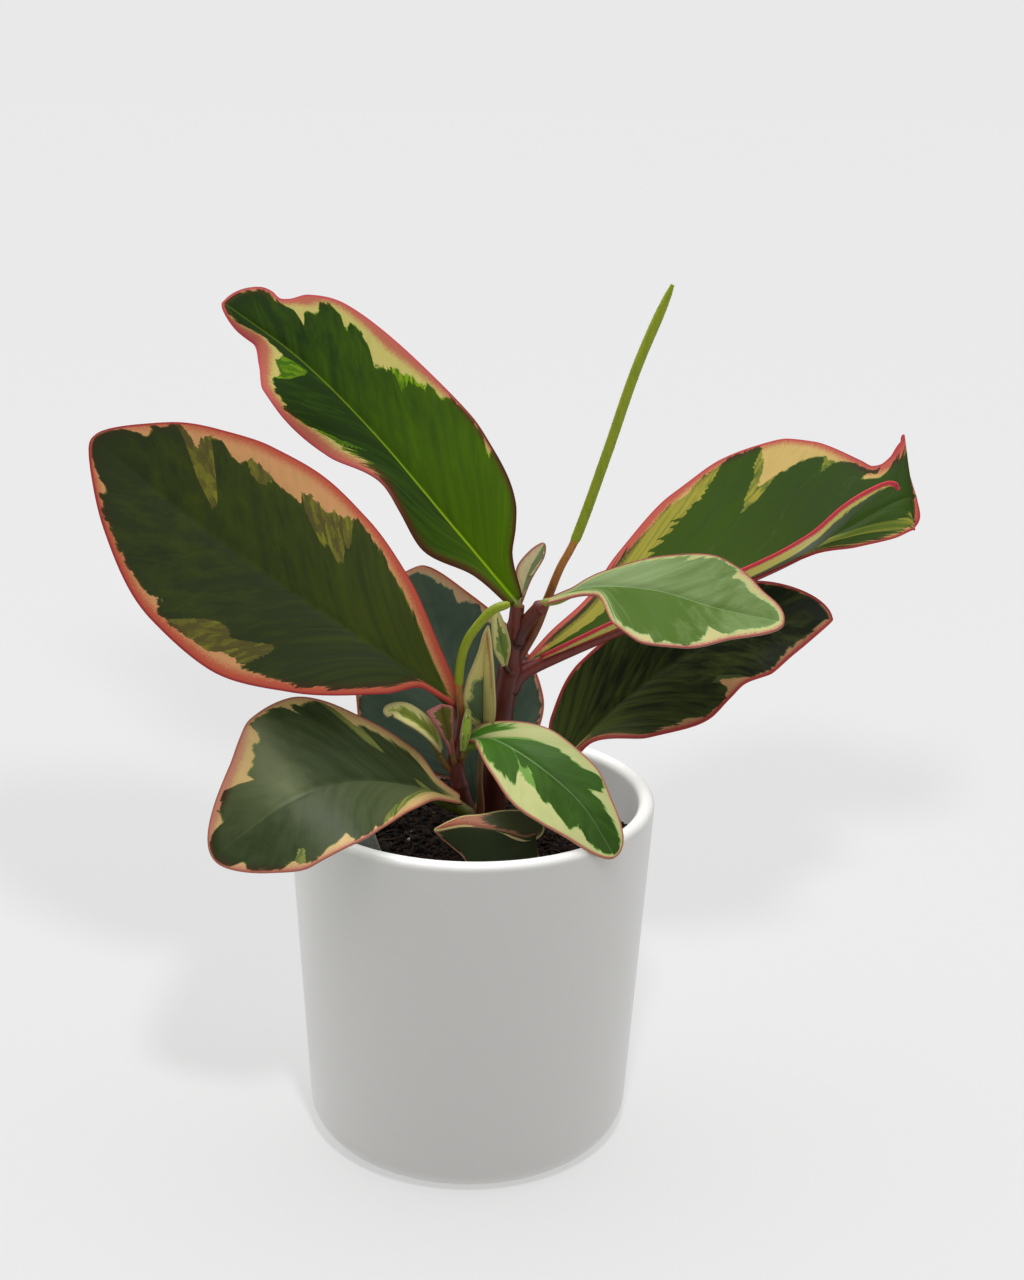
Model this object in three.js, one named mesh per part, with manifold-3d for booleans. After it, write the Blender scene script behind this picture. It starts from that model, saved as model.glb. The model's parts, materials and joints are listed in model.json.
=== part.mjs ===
// Potted ginny peperomia: a white ceramic cover pot, its soil with a blank plant label, two stems,
// fourteen leaves, a shoot bud and two flower spikes.
// Millimetres, +Z up. The origin is the centre of the pot's flat base, and -Y is the front.
import * as THREE from 'three';
import { mergeVertices } from 'three/addons/utils/BufferGeometryUtils.js';
import Module from 'manifold-3d';

const wasm = await Module();
wasm.setup();

// Driving dimensions
const GAP = 0.3; // free space between two pieces that touch
const POT_HEIGHT = 108.5;
const POT_RIM_RADIUS = 55;
const POT_BASE_RADIUS = 49;
const POT_WALL = 4.8;
const POT_FLOOR = 6;
const POT_FOOT_ROUNDING = 10;
const SOIL_LEVEL = 93;
const SOIL_BUMP = 0.9;
const STEM_FOOT = 72; // how deep the stems reach down into the soil
const BLADE_MIDDLE = 1.3; // leaf thickness beside the midrib
const BLADE_MARGIN = 0.7; // leaf thickness at its edge
const LABEL = { width: 12, thickness: 1, length: 44, top: 113, room: 0.5 };

// Detail of the surfaces
const POT_SIDES = 56;
const BLADE_STEPS = 16;
const SMALL_BLADE_STEPS = 10;
const ACROSS = [-1, -0.7, -0.35, 0, 0.35, 0.7, 1];
const ACROSS_SMALL = [-1, -0.6, 0, 0.6, 1];
const TUBE_SIDES = 10;

// Colours seen from a step away
const COLOURS = {
  ceramic: 0xdededb,
  soil: 0x1d1613,
  plastic: 0x8f9190,
  stem: 0x5a2420,
  leafDark: 0x33452a,
  leafGreen: 0x3a6420,
  leafYoung: 0x6c9757,
  leafCream: 0xb9bf7a,
  leafPink: 0xb97a62,
  spike: 0x7a9526,
};

// Smooth value at t through stations [t, value], with no overshoot between them
function along(stations, t) {
  const last = stations.length - 1;
  if (t <= stations[0][0]) return stations[0][1];
  if (t >= stations[last][0]) return stations[last][1];
  let k = 0;
  while (stations[k + 1][0] <= t) k += 1;
  const slope = (i) => (stations[i + 1][1] - stations[i][1]) / (stations[i + 1][0] - stations[i][0]);
  const tangent = (i) => {
    if (i === 0) return slope(0);
    if (i === last) return slope(last - 1);
    const before = slope(i - 1);
    const after = slope(i);
    return before * after <= 0 ? 0 : (2 * before * after) / (before + after);
  };
  const span = stations[k + 1][0] - stations[k][0];
  const q = (t - stations[k][0]) / span;
  const q2 = q * q;
  const q3 = q2 * q;
  return (2 * q3 - 3 * q2 + 1) * stations[k][1] + (q3 - 2 * q2 + q) * tangent(k) * span
    + (3 * q2 - 2 * q3) * stations[k + 1][1] + (q3 - q2) * tangent(k + 1) * span;
}

function curveThrough(points) {
  const vectors = points.map((p) => new THREE.Vector3(...p));
  return new THREE.CatmullRomCurve3(vectors, false, 'catmullrom', 0.5);
}

// One closed skin over rings of equal length. The first half of a ring is one face and the
// second half comes back under it, so both faces are split into triangles alike.
function skin(rings) {
  const count = rings[0].length;
  const half = count / 2;
  const positions = rings.flat().flatMap((p) => [p.x, p.y, p.z]);
  const index = [];
  const quad = (a, b, c, d) => index.push(a, b, c, a, c, d);
  for (let i = 0; i < rings.length - 1; i += 1) {
    for (let j = 0; j < count; j += 1) {
      const here = i * count + j;
      const next = i * count + ((j + 1) % count);
      if (j < half) quad(here, here + count, next + count, next);
      else quad(next, here, here + count, next + count);
    }
  }
  const lastRing = (rings.length - 1) * count;
  for (let j = 0; j < half - 1; j += 1) {
    const under = count - 1 - j;
    quad(j, j + 1, under - 1, under);
    quad(lastRing + j + 1, lastRing + j, lastRing + under, lastRing + under - 1);
  }
  const geometry = new THREE.BufferGeometry();
  geometry.setAttribute('position', new THREE.Float32BufferAttribute(positions, 3));
  geometry.setIndex(index);
  return geometry;
}

function toSolid(geometry) {
  const bare = geometry.clone();
  bare.deleteAttribute('normal');
  bare.deleteAttribute('uv');
  const merged = mergeVertices(bare, 1e-5);
  const vertProperties = new Float32Array(merged.attributes.position.array);
  const triVerts = new Uint32Array(merged.index.array);
  const solid = new wasm.Manifold(new wasm.Mesh({ numProp: 3, vertProperties, triVerts }));
  if (solid.volume() > 0) return solid;
  for (let i = 0; i < triVerts.length; i += 3) {
    [triVerts[i], triVerts[i + 1]] = [triVerts[i + 1], triVerts[i]];
  }
  return new wasm.Manifold(new wasm.Mesh({ numProp: 3, vertProperties, triVerts }));
}

function toGeometry(solid) {
  const mesh = solid.getMesh();
  const geometry = new THREE.BufferGeometry();
  geometry.setAttribute('position', new THREE.Float32BufferAttribute(mesh.vertProperties, 3));
  geometry.setIndex([...mesh.triVerts]);
  geometry.computeVertexNormals();
  return geometry;
}

const join = (solids) => solids.reduce((sum, solid) => sum.add(solid));

// What is left of a piece cut clear of another, without the chips of its cut end
function cutClear(solid, room) {
  const pieces = solid.subtract(room).decompose();
  return pieces.reduce((best, piece) => (piece.volume() > best.volume() ? piece : best));
}

// Round stem along points, with its radius given by stations. Grown, it is the room that
// the stem leaves free in its neighbours, at its ends too.
function stemSolid({ points, radius, steps = 12, sides = TUBE_SIDES }, grow = 0) {
  const curve = curveThrough(points);
  const rings = [];
  let side = new THREE.Vector3(0.31, -0.95, 0.07);
  for (let i = 0; i <= steps; i += 1) {
    const t = i / steps;
    const centre = curve.getPoint(t);
    const tangent = curve.getTangent(t);
    if (i === 0) centre.addScaledVector(tangent, -grow);
    if (i === steps) centre.addScaledVector(tangent, grow);
    side = side.clone().addScaledVector(tangent, -side.dot(tangent)).normalize();
    const other = new THREE.Vector3().crossVectors(tangent, side);
    const r = along(radius, t) + grow;
    const ring = [];
    for (let j = 0; j < sides; j += 1) {
      const angle = (2 * Math.PI * j) / sides;
      ring.push(centre.clone()
        .addScaledVector(side, r * Math.cos(angle))
        .addScaledVector(other, r * Math.sin(angle)));
    }
    rings.push(ring);
  }
  return toSolid(skin(rings));
}

// Leaf blade: spine is the midrib from base to tip, face the way its upper side looks (base to tip),
// left and right are half-widths by stations, fold lifts each half in degrees and curl bends it
// further towards its edge, and wave is a list of [side, height, cycles, phase].
function bladeFrame(leaf, t) {
  const middle = leaf.curve.getPoint(t);
  const tangent = leaf.curve.getPoint(Math.min(1, t + 0.01))
    .sub(leaf.curve.getPoint(Math.max(0, t - 0.01))).normalize();
  const steps = Math.max(1, leaf.face.length - 1);
  const facing = new THREE.Vector3(...[0, 1, 2].map(
    (axis) => along(leaf.face.map((direction, i) => [i / steps, direction[axis]]), t),
  ));
  const up = facing.addScaledVector(tangent, -facing.dot(tangent)).normalize();
  const side = new THREE.Vector3().crossVectors(tangent, up);
  return { middle, up, side };
}

const radians = (degrees) => (degrees * Math.PI) / 180;

function bladeBend(leaf, key, t, column) {
  if (!leaf[key]) return 0;
  return radians(along(leaf[key].map((row) => [row[0], row[column]]), t));
}

function bladePoint(leaf, frame, t, v) {
  const sign = v < 0 ? -1 : 1;
  const q = Math.abs(v);
  const rounding = Math.sqrt(Math.max(0, 1 - t ** (leaf.blunt ?? 14)));
  const width = along(v < 0 ? leaf.left : leaf.right, t) * rounding;
  const fold = bladeBend(leaf, 'fold', t, v < 0 ? 1 : 2);
  const curl = bladeBend(leaf, 'curl', t, v < 0 ? 1 : 2);
  let out = width * q * Math.cos(fold);
  let lift = width * q * Math.sin(fold);
  if (Math.abs(curl) > 1e-4) {
    out = (width / curl) * (Math.sin(fold + curl * q) - Math.sin(fold));
    lift = (width / curl) * (Math.cos(fold) - Math.cos(fold + curl * q));
  }
  for (const [side, height, cycles, phase] of leaf.wave ?? []) {
    if (side * sign > 0) {
      lift += height * q * q * Math.sin(2 * Math.PI * (cycles * t + phase)) * Math.min(1, 4 * t);
    }
  }
  const point = frame.middle.clone().addScaledVector(frame.side, sign * out);
  point.addScaledVector(frame.up, lift);
  const slope = v === 0 ? 0 : fold + curl * q;
  const normal = frame.up.clone().multiplyScalar(Math.cos(slope));
  normal.addScaledVector(frame.side, -sign * Math.sin(slope));
  return { point, normal };
}

function bladeSolid(leaf) {
  const across = leaf.small ? ACROSS_SMALL : ACROSS;
  const steps = leaf.small ? SMALL_BLADE_STEPS : BLADE_STEPS;
  const rings = [];
  for (let i = 0; i <= steps; i += 1) {
    const t = 0.997 * (1 - (1 - i / steps) ** 1.25);
    const frame = bladeFrame(leaf, t);
    const upper = [];
    const lower = [];
    for (const v of across) {
      const { point, normal } = bladePoint(leaf, frame, t, v);
      const thickness = BLADE_MARGIN + (BLADE_MIDDLE - BLADE_MARGIN) * (1 - v * v);
      upper.push(point.clone().addScaledVector(normal, thickness / 2));
      lower.unshift(point.clone().addScaledVector(normal, -thickness / 2));
    }
    rings.push([...upper, ...lower]);
  }
  return toSolid(skin(rings));
}

// Stalk of a leaf, which runs on under the blade as its raised midrib
function stalkSolid(leaf) {
  const [thick, thin] = leaf.stalkRadius;
  const points = leaf.stalk.map((p) => [...p]);
  const bare = points.length;
  for (const t of leaf.small ? [0.1, 0.4] : [0.06, 0.22, 0.42, 0.62, 0.82]) {
    const { middle, up } = bladeFrame(leaf, t);
    points.push(middle.addScaledVector(up, -0.55).toArray());
  }
  const blade = (bare - 0.5) / (points.length - 1);
  const radius = [[0, thick], [blade, thin], [1, leaf.small ? 0.5 : 0.6]];
  return stemSolid({ points, radius, steps: leaf.small ? 7 : 12, sides: 8 });
}

function leafSolid(leaf) {
  const blades = [leaf, ...(leaf.extra ?? [])];
  for (const blade of blades) blade.curve = curveThrough(blade.spine);
  const solids = blades.map(bladeSolid);
  solids.push(...blades.filter((blade) => blade.stalk).map(stalkSolid));
  return join(solids);
}

// Pot: a straight tapered cup with a rounded foot and a fully rounded lip
const POT_SLOPE = (POT_RIM_RADIUS - POT_BASE_RADIUS) / POT_HEIGHT;
const outerRadius = (z) => POT_BASE_RADIUS + POT_SLOPE * z;
const innerRadius = (z) => outerRadius(z) - POT_WALL;

function quarterArc(centreR, centreZ, radius, from, to, steps) {
  const arc = [];
  for (let i = 0; i <= steps; i += 1) {
    const angle = radians(from + ((to - from) * i) / steps);
    arc.push(new THREE.Vector2(
      centreR + radius * Math.cos(angle),
      centreZ + radius * Math.sin(angle),
    ));
  }
  return arc;
}

function turned(profile, sides) {
  return new THREE.LatheGeometry(profile, sides).rotateX(Math.PI / 2);
}

// Wall and floor inside the pot, drawn in by a given distance
function cavityCorner(inset, steps) {
  const rounding = POT_FOOT_ROUNDING - POT_WALL;
  const floor = POT_FLOOR + inset;
  const centreR = innerRadius(floor + rounding) - inset - rounding;
  return quarterArc(centreR, floor + rounding, rounding, 0, -90, steps);
}

function potGeometry() {
  const foot = quarterArc(
    outerRadius(POT_FOOT_ROUNDING) - POT_FOOT_ROUNDING, POT_FOOT_ROUNDING, POT_FOOT_ROUNDING, -90, 0, 6,
  );
  const lipRadius = POT_WALL / 2;
  const lip = quarterArc(POT_RIM_RADIUS - lipRadius, POT_HEIGHT - lipRadius, lipRadius, 0, 180, 8);
  const profile = [new THREE.Vector2(0, 0), ...foot, ...lip, ...cavityCorner(0, 4),
    new THREE.Vector2(0, POT_FLOOR)];
  return turned(profile, POT_SIDES);
}

// Soil: fills the pot to its level, with a lumpy top
function soilHeight(x, y) {
  return SOIL_BUMP * (Math.sin(0.31 * x + 0.8) * Math.cos(0.27 * y - 0.4)
    + 0.5 * Math.sin(0.63 * x - 0.47 * y));
}

function soilSolid() {
  const edge = innerRadius(SOIL_LEVEL) - GAP;
  const profile = [new THREE.Vector2(0, POT_FLOOR + GAP), ...cavityCorner(GAP, 4).reverse(),
    new THREE.Vector2(edge, SOIL_LEVEL)];
  for (const share of [0.86, 0.7, 0.54, 0.38, 0.2, 0]) {
    profile.push(new THREE.Vector2(edge * share, SOIL_LEVEL));
  }
  const geometry = turned(profile, POT_SIDES);
  const position = geometry.attributes.position;
  for (let i = 0; i < position.count; i += 1) {
    const x = position.getX(i);
    const y = position.getY(i);
    const onTop = position.getZ(i) > SOIL_LEVEL - 0.01 && Math.hypot(x, y) < edge - 0.01;
    if (onTop) position.setZ(i, SOIL_LEVEL + soilHeight(x, y));
  }
  return toSolid(geometry);
}

// Label: a blank plastic strip with a rounded top and a pointed foot
function labelSolid(grow = 0) {
  const half = LABEL.width / 2 + grow;
  const top = grow;
  const foot = -LABEL.length - grow;
  const outline = new THREE.Shape();
  outline.moveTo(0, foot);
  outline.lineTo(half, foot + 12);
  outline.lineTo(half, top - 3);
  outline.absarc(half - 3, top - 3, 3, 0, Math.PI / 2, false);
  outline.absarc(3 - half, top - 3, 3, Math.PI / 2, Math.PI, false);
  outline.lineTo(-half, foot + 12);
  const depth = LABEL.thickness + 2 * grow;
  const strip = new THREE.ExtrudeGeometry(outline, { depth, bevelEnabled: false, curveSegments: 4 });
  strip.translate(0, 0, -depth / 2);
  strip.rotateX(radians(90 + 8));
  strip.rotateY(radians(-17));
  strip.translate(-36.5, -25.5, LABEL.top);
  return toSolid(strip);
}

// Stems: the trunk and the lower stem in front of it, both standing in the soil
const TRUNK = [
  {
    points: [[5.5, 5.5, STEM_FOOT], [6, 5, 93], [7.2, 4.5, 112], [9.6, 3.5, 131], [11.8, 2.2, 149],
      [12.5, 1, 166.5]],
    radius: [[0, 4.5], [0.4, 4.3], [0.62, 3.9], [0.75, 3.6], [0.79, 3.2], [0.84, 2.4], [1, 2.1]],
    steps: 18,
    sides: 12,
  },
  {
    points: [[11.9, 2, 154], [14.5, 1, 160], [18, -0.8, 165.3], [20.6, -1.9, 168.2]],
    radius: [[0, 2.4], [0.6, 2], [0.9, 2.1], [1, 1.7]],
    steps: 6,
  },
];
const SIDE_STEM = [
  {
    points: [[0.3, -5, STEM_FOOT], [-0.3, -6.5, 93], [-2, -8, 107], [-4.6, -9, 120], [-3.5, -9.4, 130],
      [-3, -10, 136]],
    radius: [[0, 2.8], [0.3, 2.7], [0.6, 2.3], [0.68, 2.5], [0.8, 1.7], [1, 1.4]],
    steps: 18,
  },
  {
    points: [[-2.8, -9.4, 129], [-1.6, -10.4, 134], [-1, -10.8, 138.5]],
    radius: [[0, 1], [0.5, 0.9], [1, 0.4]],
    steps: 4,
    sides: 6,
  },
];

// Leaves. Half-widths of the side towards the viewer's left are not always the left list:
// left and right are as seen from above the leaf, looking from its base to its tip.
const LEAVES = {
  leaf_left_large: {
    colour: 'leafDark',
    on: 'side',
    stalk: [[-3.4, -9.4, 130], [-4.8, -8, 136]],
    stalkRadius: [1.5, 1.3],
    spine: [[-5, -8.5, 139.3], [-26, -15, 156], [-50, -19, 174], [-76, -23.5, 195], [-103, -27, 219]],
    face: [[0.3, -0.75, 0.6], [0.1, -0.85, 0.5]],
    left: [[0, 1.5], [0.1, 2], [0.2, 10.5], [0.4, 24.5], [0.58, 31.5], [0.72, 29], [0.88, 19], [1, 8]],
    right: [[0, 3], [0.12, 11], [0.3, 23.5], [0.45, 31], [0.58, 33.5], [0.72, 30.5], [0.88, 20], [1, 9]],
    fold: [[0, 14, 14], [0.5, 10, 8], [1, 6, 6]],
    curl: [[0, 0, 0], [0.5, -10, -14], [1, -4, -4]],
  },
  leaf_upper_left: {
    colour: 'leafGreen',
    on: 'trunk',
    stalk: [[12.5, 1, 163], [12.3, 1, 166]],
    stalkRadius: [1.7, 1.6],
    spine: [[12, 1, 167.5], [-7, 8, 188], [-31, 16, 214], [-53, 20.5, 234.5], [-75, 22, 250]],
    face: [[0.3, -0.8, 0.5], [0.2, -0.8, 0.5]],
    left: [[0, 3], [0.12, 5], [0.26, 12], [0.39, 9.5], [0.52, 16], [0.65, 18], [0.76, 15], [0.87, 5.5],
      [1, 4.5]],
    right: [[0, 2.5], [0.12, 9.5], [0.22, 19], [0.4, 26], [0.62, 25], [0.75, 22], [0.87, 14.5],
      [0.94, 12], [1, 13]],
    fold: [[0, 20, 20], [0.5, 12, 12], [1, 8, 8]],
    curl: [[0, 0, 0], [0.5, -10, -10], [1, -4, -4]],
    wave: [[-1, 1.6, 3, 0.1]],
  },
  leaf_right_folded: {
    colour: 'leafDark',
    on: 'trunk',
    stalk: [[10.2, 3.2, 139], [14, 4, 144]],
    stalkRadius: [2.8, 2.3],
    spine: [[20, 5, 148], [47, 9, 160], [82, 12.5, 174], [108, 16, 186.5], [124.5, 19, 195.5],
      [130.5, 20.5, 197.5]],
    face: [[-0.4, -0.6, 0.7], [-0.3, -0.7, 0.6], [-0.3, -0.85, 0.4]],
    left: [[0, 6], [0.12, 9], [0.22, 21], [0.33, 32], [0.45, 35.5], [0.57, 33], [0.68, 27], [0.77, 18],
      [0.82, 15.5], [0.88, 16], [0.95, 20], [1, 22]],
    right: [[0, 1], [0.45, 1.5], [0.52, 2], [0.62, 6], [0.75, 9.5], [0.9, 10], [1, 8]],
    blunt: 25,
    fold: [[0, 10, 10], [0.5, 10, -10], [1, 0, 0]],
    extra: [{
      spine: [[20, 5, 148], [47, 8.8, 160], [82, 12, 174], [101, 12.5, 184.2], [112, 12, 193],
        [119, 10, 199.5]],
      face: [[-0.38, 0.56, 0.73]],
      left: [[0, 0.8], [1, 0.8]],
      right: [[0, 3], [0.2, 8], [0.45, 12], [0.7, 14], [0.88, 10], [1, 3]],
    }],
  },
  leaf_right_young: {
    colour: 'leafYoung',
    on: 'trunk',
    stalk: [[18.6, -1, 166], [20.6, -1.9, 168.3]],
    stalkRadius: [1.6, 1.2],
    spine: [[20.8, -2, 168.6], [33, -8.5, 175], [51, -16, 176.5], [68, -23, 173.5], [86.2, -28, 171.1]],
    face: [[-0.1, -0.6, 0.8], [0, -0.75, 0.65], [0.1, -0.65, 0.75]],
    left: [[0, 1], [0.14, 1], [0.3, 4.5], [0.5, 10.5], [0.68, 15], [0.8, 13.5], [0.92, 9], [1, 8]],
    right: [[0, 1], [0.12, 2.5], [0.29, 3.5], [0.4, 14], [0.56, 19], [0.7, 16.5], [0.84, 9.5], [1, 5.5]],
    fold: [[0, 20, 20], [0.5, 12, 12], [1, 8, 8]],
  },
  leaf_right_low: {
    colour: 'leafDark',
    on: 'trunk',
    stalk: [[6.5, 5, 99], [8, 7, 102]],
    stalkRadius: [1.8, 1.7],
    spine: [[9, 8, 103], [26, 13.5, 112.5], [44.5, 19, 130.1], [64, 22.5, 145], [86, 23.5, 155],
      [109, 22, 158]],
    face: [[-0.1, -0.75, 0.65]],
    left: [[0, 1.5], [0.15, 2], [0.27, 12], [0.4, 18], [0.52, 18.5], [0.8, 15], [0.92, 12], [1, 10]],
    right: [[0, 1.5], [0.28, 2], [0.4, 15], [0.58, 22.5], [0.7, 18.5], [0.8, 17], [0.9, 12], [1, 4]],
    fold: [[0, 20, 20], [0.5, 12, 12], [1, 8, 8]],
    wave: [[1, 1.5, 3, 0.2]],
  },
  leaf_back: {
    colour: 'leafDark',
    on: 'trunk',
    stalk: [[5.5, 5.5, 97], [2.8, 7.5, 98.5]],
    stalkRadius: [1.9, 1.8],
    spine: [[1.5, 8, 99], [-1, 13, 113], [-4.5, 20, 130.5], [-10.5, 27, 151], [-17, 32, 170]],
    face: [[0, -0.9, 0.4]],
    left: [[0, 1.5], [0.12, 3], [0.3, 20], [0.45, 29], [0.65, 29], [0.85, 24], [1, 18]],
    right: [[0, 1.5], [0.12, 3], [0.3, 22], [0.45, 27], [0.65, 26], [0.85, 21], [1, 14]],
    fold: [[0, 20, 20], [0.5, 12, 12], [1, 8, 8]],
  },
  leaf_front_left: {
    colour: 'leafDark',
    on: 'side',
    stalk: [[-0.6, -6.8, 101], [-1.6, -9.5, 105.5]],
    stalkRadius: [2.3, 2.1],
    spine: [[-3.5, -12, 110], [-17.4, -22.5, 118.5], [-34, -35.5, 124.5], [-50, -47.5, 122.5],
      [-69, -55, 109]],
    face: [[0, -0.55, 0.85], [-0.1, -0.7, 0.7]],
    left: [[0, 2], [0.12, 3.5], [0.3, 11], [0.5, 20], [0.65, 23], [0.8, 22.5], [0.9, 17], [1, 10]],
    right: [[0, 2], [0.12, 5], [0.2, 11], [0.4, 20.5], [0.57, 29], [0.7, 27], [0.82, 18.5],
      [0.93, 13], [1, 10]],
    fold: [[0, 20, 20], [0.5, 12, 12], [1, 8, 8]],
  },
  leaf_front_right: {
    colour: 'leafGreen',
    on: 'side',
    stalk: [[-4.4, -9, 119.5], [-2.6, -9, 125]],
    stalkRadius: [1.9, 1.7],
    spine: [[-1.8, -9, 128], [7, -15, 130], [20, -24.5, 125.5], [32, -33, 117.5], [41, -41, 105.5]],
    face: [[0.2, -0.5, 0.85], [0.4, -0.7, 0.6]],
    left: [[0, 2], [0.08, 4.2], [0.2, 6], [0.45, 12], [0.65, 11.5], [0.8, 8.5], [1, 7]],
    right: [[0, 1], [0.08, 1.5], [0.2, 6], [0.4, 14], [0.58, 18], [0.72, 16], [0.88, 10.5], [1, 6]],
    fold: [[0, 30, 20], [0.5, 12, 12], [1, 8, 8]],
  },
  leaf_front_low: {
    colour: 'leafPink',
    on: 'trunk',
    small: true,
    stalk: [[6.4, 4, 97], [10.8, -2, 100]],
    stalkRadius: [1.4, 1.3],
    spine: [[13, -7, 103], [14.5, -14, 106.5], [15, -22, 107.2], [15.4, -30, 105.5]],
    face: [[0, -0.35, 0.95]],
    left: [[0, 2], [0.25, 8], [0.5, 13], [0.7, 13], [0.88, 8], [1, 3]],
    right: [[0, 2], [0.2, 10], [0.45, 22], [0.65, 27], [0.85, 24], [1, 9]],
    fold: [[0, 0, 0], [1, -6, -3]],
    extra: [{
      small: true,
      stalk: [[10.8, -2, 100], [13, -12, 100]],
      stalkRadius: [1.3, 1.3],
      spine: [[14, -22, 99.5], [4, -29.5, 101], [-5, -31, 103.5], [-12, -27, 106]],
      face: [[-0.2, -0.85, 0.4]],
      left: [[0, 2], [0.4, 6], [0.7, 5.5], [1, 2]],
      right: [[0, 2], [0.4, 4], [0.7, 2.5], [1, 1.5]],
    }],
  },
  leaf_centre_folded: {
    colour: 'leafCream',
    on: 'side',
    small: true,
    stalk: [[-0.3, -6.6, 96], [3, -5.8, 103], [2.4, -4.6, 112], [2.6, -3.4, 120]],
    stalkRadius: [1, 0.9],
    spine: [[3, -3.6, 126], [2.6, -6.2, 138], [2.8, -8, 151], [4.1, -7, 162.5]],
    face: [[0.25, -0.8, 0.3]],
    left: [[0, 1], [0.17, 1.3], [0.28, 6], [0.4, 7.5], [0.65, 6.5], [1, 1]],
    right: [[0, 1], [0.14, 2], [0.26, 6.5], [0.4, 7], [0.65, 6], [1, 1]],
    fold: [[0, 45, 45], [1, 50, 50]],
  },
  leaf_centre_small: {
    colour: 'leafCream',
    on: 'trunk',
    small: true,
    stalk: [[11.4, 2.3, 145.5], [10, -1.5, 147.5]],
    stalkRadius: [1, 0.9],
    spine: [[9, -3.5, 149.5], [7.5, -4.5, 158], [6, -4.5, 167]],
    face: [[0.2, -0.8, 0.3]],
    left: [[0, 1], [0.4, 3.5], [1, 1.2]],
    right: [[0, 1], [0.4, 3], [1, 1.2]],
    fold: [[0, 40, 40], [1, 30, 30]],
  },
  leaf_top_small: {
    colour: 'leafCream',
    on: 'trunk',
    small: true,
    stalk: [[12.4, 1.4, 161], [12.6, 5, 164]],
    stalkRadius: [1, 0.9],
    spine: [[13, 6.6, 166.2], [15.6, 9.6, 174.5], [19, 12, 183]],
    face: [[0.6, -0.6, 0.5]],
    left: [[0, 1.2], [0.4, 5.5], [0.75, 4.5], [1, 2]],
    right: [[0, 1], [0.4, 3], [0.75, 2.5], [1, 1.5]],
    fold: [[0, 30, 30], [1, 15, 15]],
  },
  leaf_curled_small: {
    colour: 'leafCream',
    on: 'side',
    small: true,
    stalk: [[-4.3, -8.9, 116.5], [-7.8, -10.4, 121]],
    stalkRadius: [1, 0.9],
    spine: [[-9.2, -12.2, 125.5], [-11.5, -14, 130.5], [-17, -16, 136], [-24, -18, 139.5]],
    face: [[0.3, -0.5, 0.8]],
    left: [[0, 1], [0.4, 5], [0.75, 4.5], [1, 2]],
    right: [[0, 1], [0.4, 4], [0.75, 3.5], [1, 1.5]],
    fold: [[0, 30, 30], [1, 15, 15]],
  },
  leaf_pink_small: {
    colour: 'leafPink',
    on: 'side',
    small: true,
    stalk: [[-4.6, -9.2, 119.5], [-5.2, -11, 122.5]],
    stalkRadius: [1.2, 1],
    spine: [[-5.6, -12.2, 125], [-6.8, -13.6, 132], [-8, -14.6, 140.5]],
    face: [[-0.1, -0.8, 0.3]],
    left: [[0, 1], [0.5, 3.5], [1, 4.8]],
    right: [[0, 1], [0.5, 3.5], [1, 4.8]],
    blunt: 40,
    fold: [[0, 45, 45], [1, 35, 35]],
  },
  shoot_bud: {
    colour: 'leafCream',
    on: 'side',
    small: true,
    stalk: [[-3.6, -9.1, 121.5], [-2.8, -11.6, 123.5]],
    stalkRadius: [0.8, 0.7],
    spine: [[-2.7, -12.6, 126], [-2.5, -13.2, 131.5], [-2.2, -13.6, 137.5]],
    face: [[0.2, -0.9, 0.1]],
    left: [[0, 0.8], [0.4, 1.6], [1, 0.8]],
    right: [[0, 0.8], [0.4, 1.6], [1, 0.8]],
    fold: [[0, 30, 30], [1, 20, 20]],
  },
};

// Flower spikes: a thin stalk that thickens into the fleshy green spike
const SPIKES = {
  flower_spike_tall: {
    on: 'trunk',
    points: [[12, 2.6, 148], [17.5, 4, 158], [20.8, 2.6, 168], [24, -1.5, 178.5], [28.8, -5, 190],
      [36.2, -8, 213.8], [43.2, -11, 238.5], [52.4, -13, 261.3]],
    radius: [[0, 1.5], [0.2, 1.3], [0.55, 0.9], [0.6, 1.4], [0.93, 1.4], [0.98, 1], [1, 0.6]],
    steps: 26,
    sides: 8,
  },
  flower_spike_short: {
    on: 'side',
    points: [[-3, -10, 134], [-3.7, -11.8, 140], [-4.5, -13.4, 150], [-1.3, -14.2, 160.5],
      [4.4, -14.2, 168], [10, -13.6, 170]],
    radius: [[0, 1.1], [0.25, 1], [0.3, 1.3], [0.95, 1.3], [1, 0.8]],
    steps: 18,
    sides: 8,
  },
};

const group = new THREE.Group();

function place(name, geometry, colour, roughness) {
  const material = new THREE.MeshStandardMaterial({ color: COLOURS[colour], roughness, metalness: 0 });
  const mesh = new THREE.Mesh(geometry, material);
  mesh.name = name;
  group.add(mesh);
}

const stems = {
  trunk: join(TRUNK.map((part) => stemSolid(part))),
  side: join(SIDE_STEM.map((part) => stemSolid(part))),
};
const stemRoom = {
  trunk: join(TRUNK.map((part) => stemSolid(part, GAP))),
  side: join(SIDE_STEM.map((part) => stemSolid(part, GAP))),
};

place('pot', potGeometry(), 'ceramic', 0.55);
const soil = soilSolid()
  .subtract(stemSolid(TRUNK[0], GAP))
  .subtract(stemSolid(SIDE_STEM[0], GAP))
  .subtract(labelSolid(LABEL.room));
place('soil', toGeometry(soil), 'soil', 0.95);
place('plant_label', toGeometry(labelSolid()), 'plastic', 0.5);
place('stem_trunk', toGeometry(stems.trunk), 'stem', 0.5);
place('stem_side', toGeometry(stems.side), 'stem', 0.5);

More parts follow.
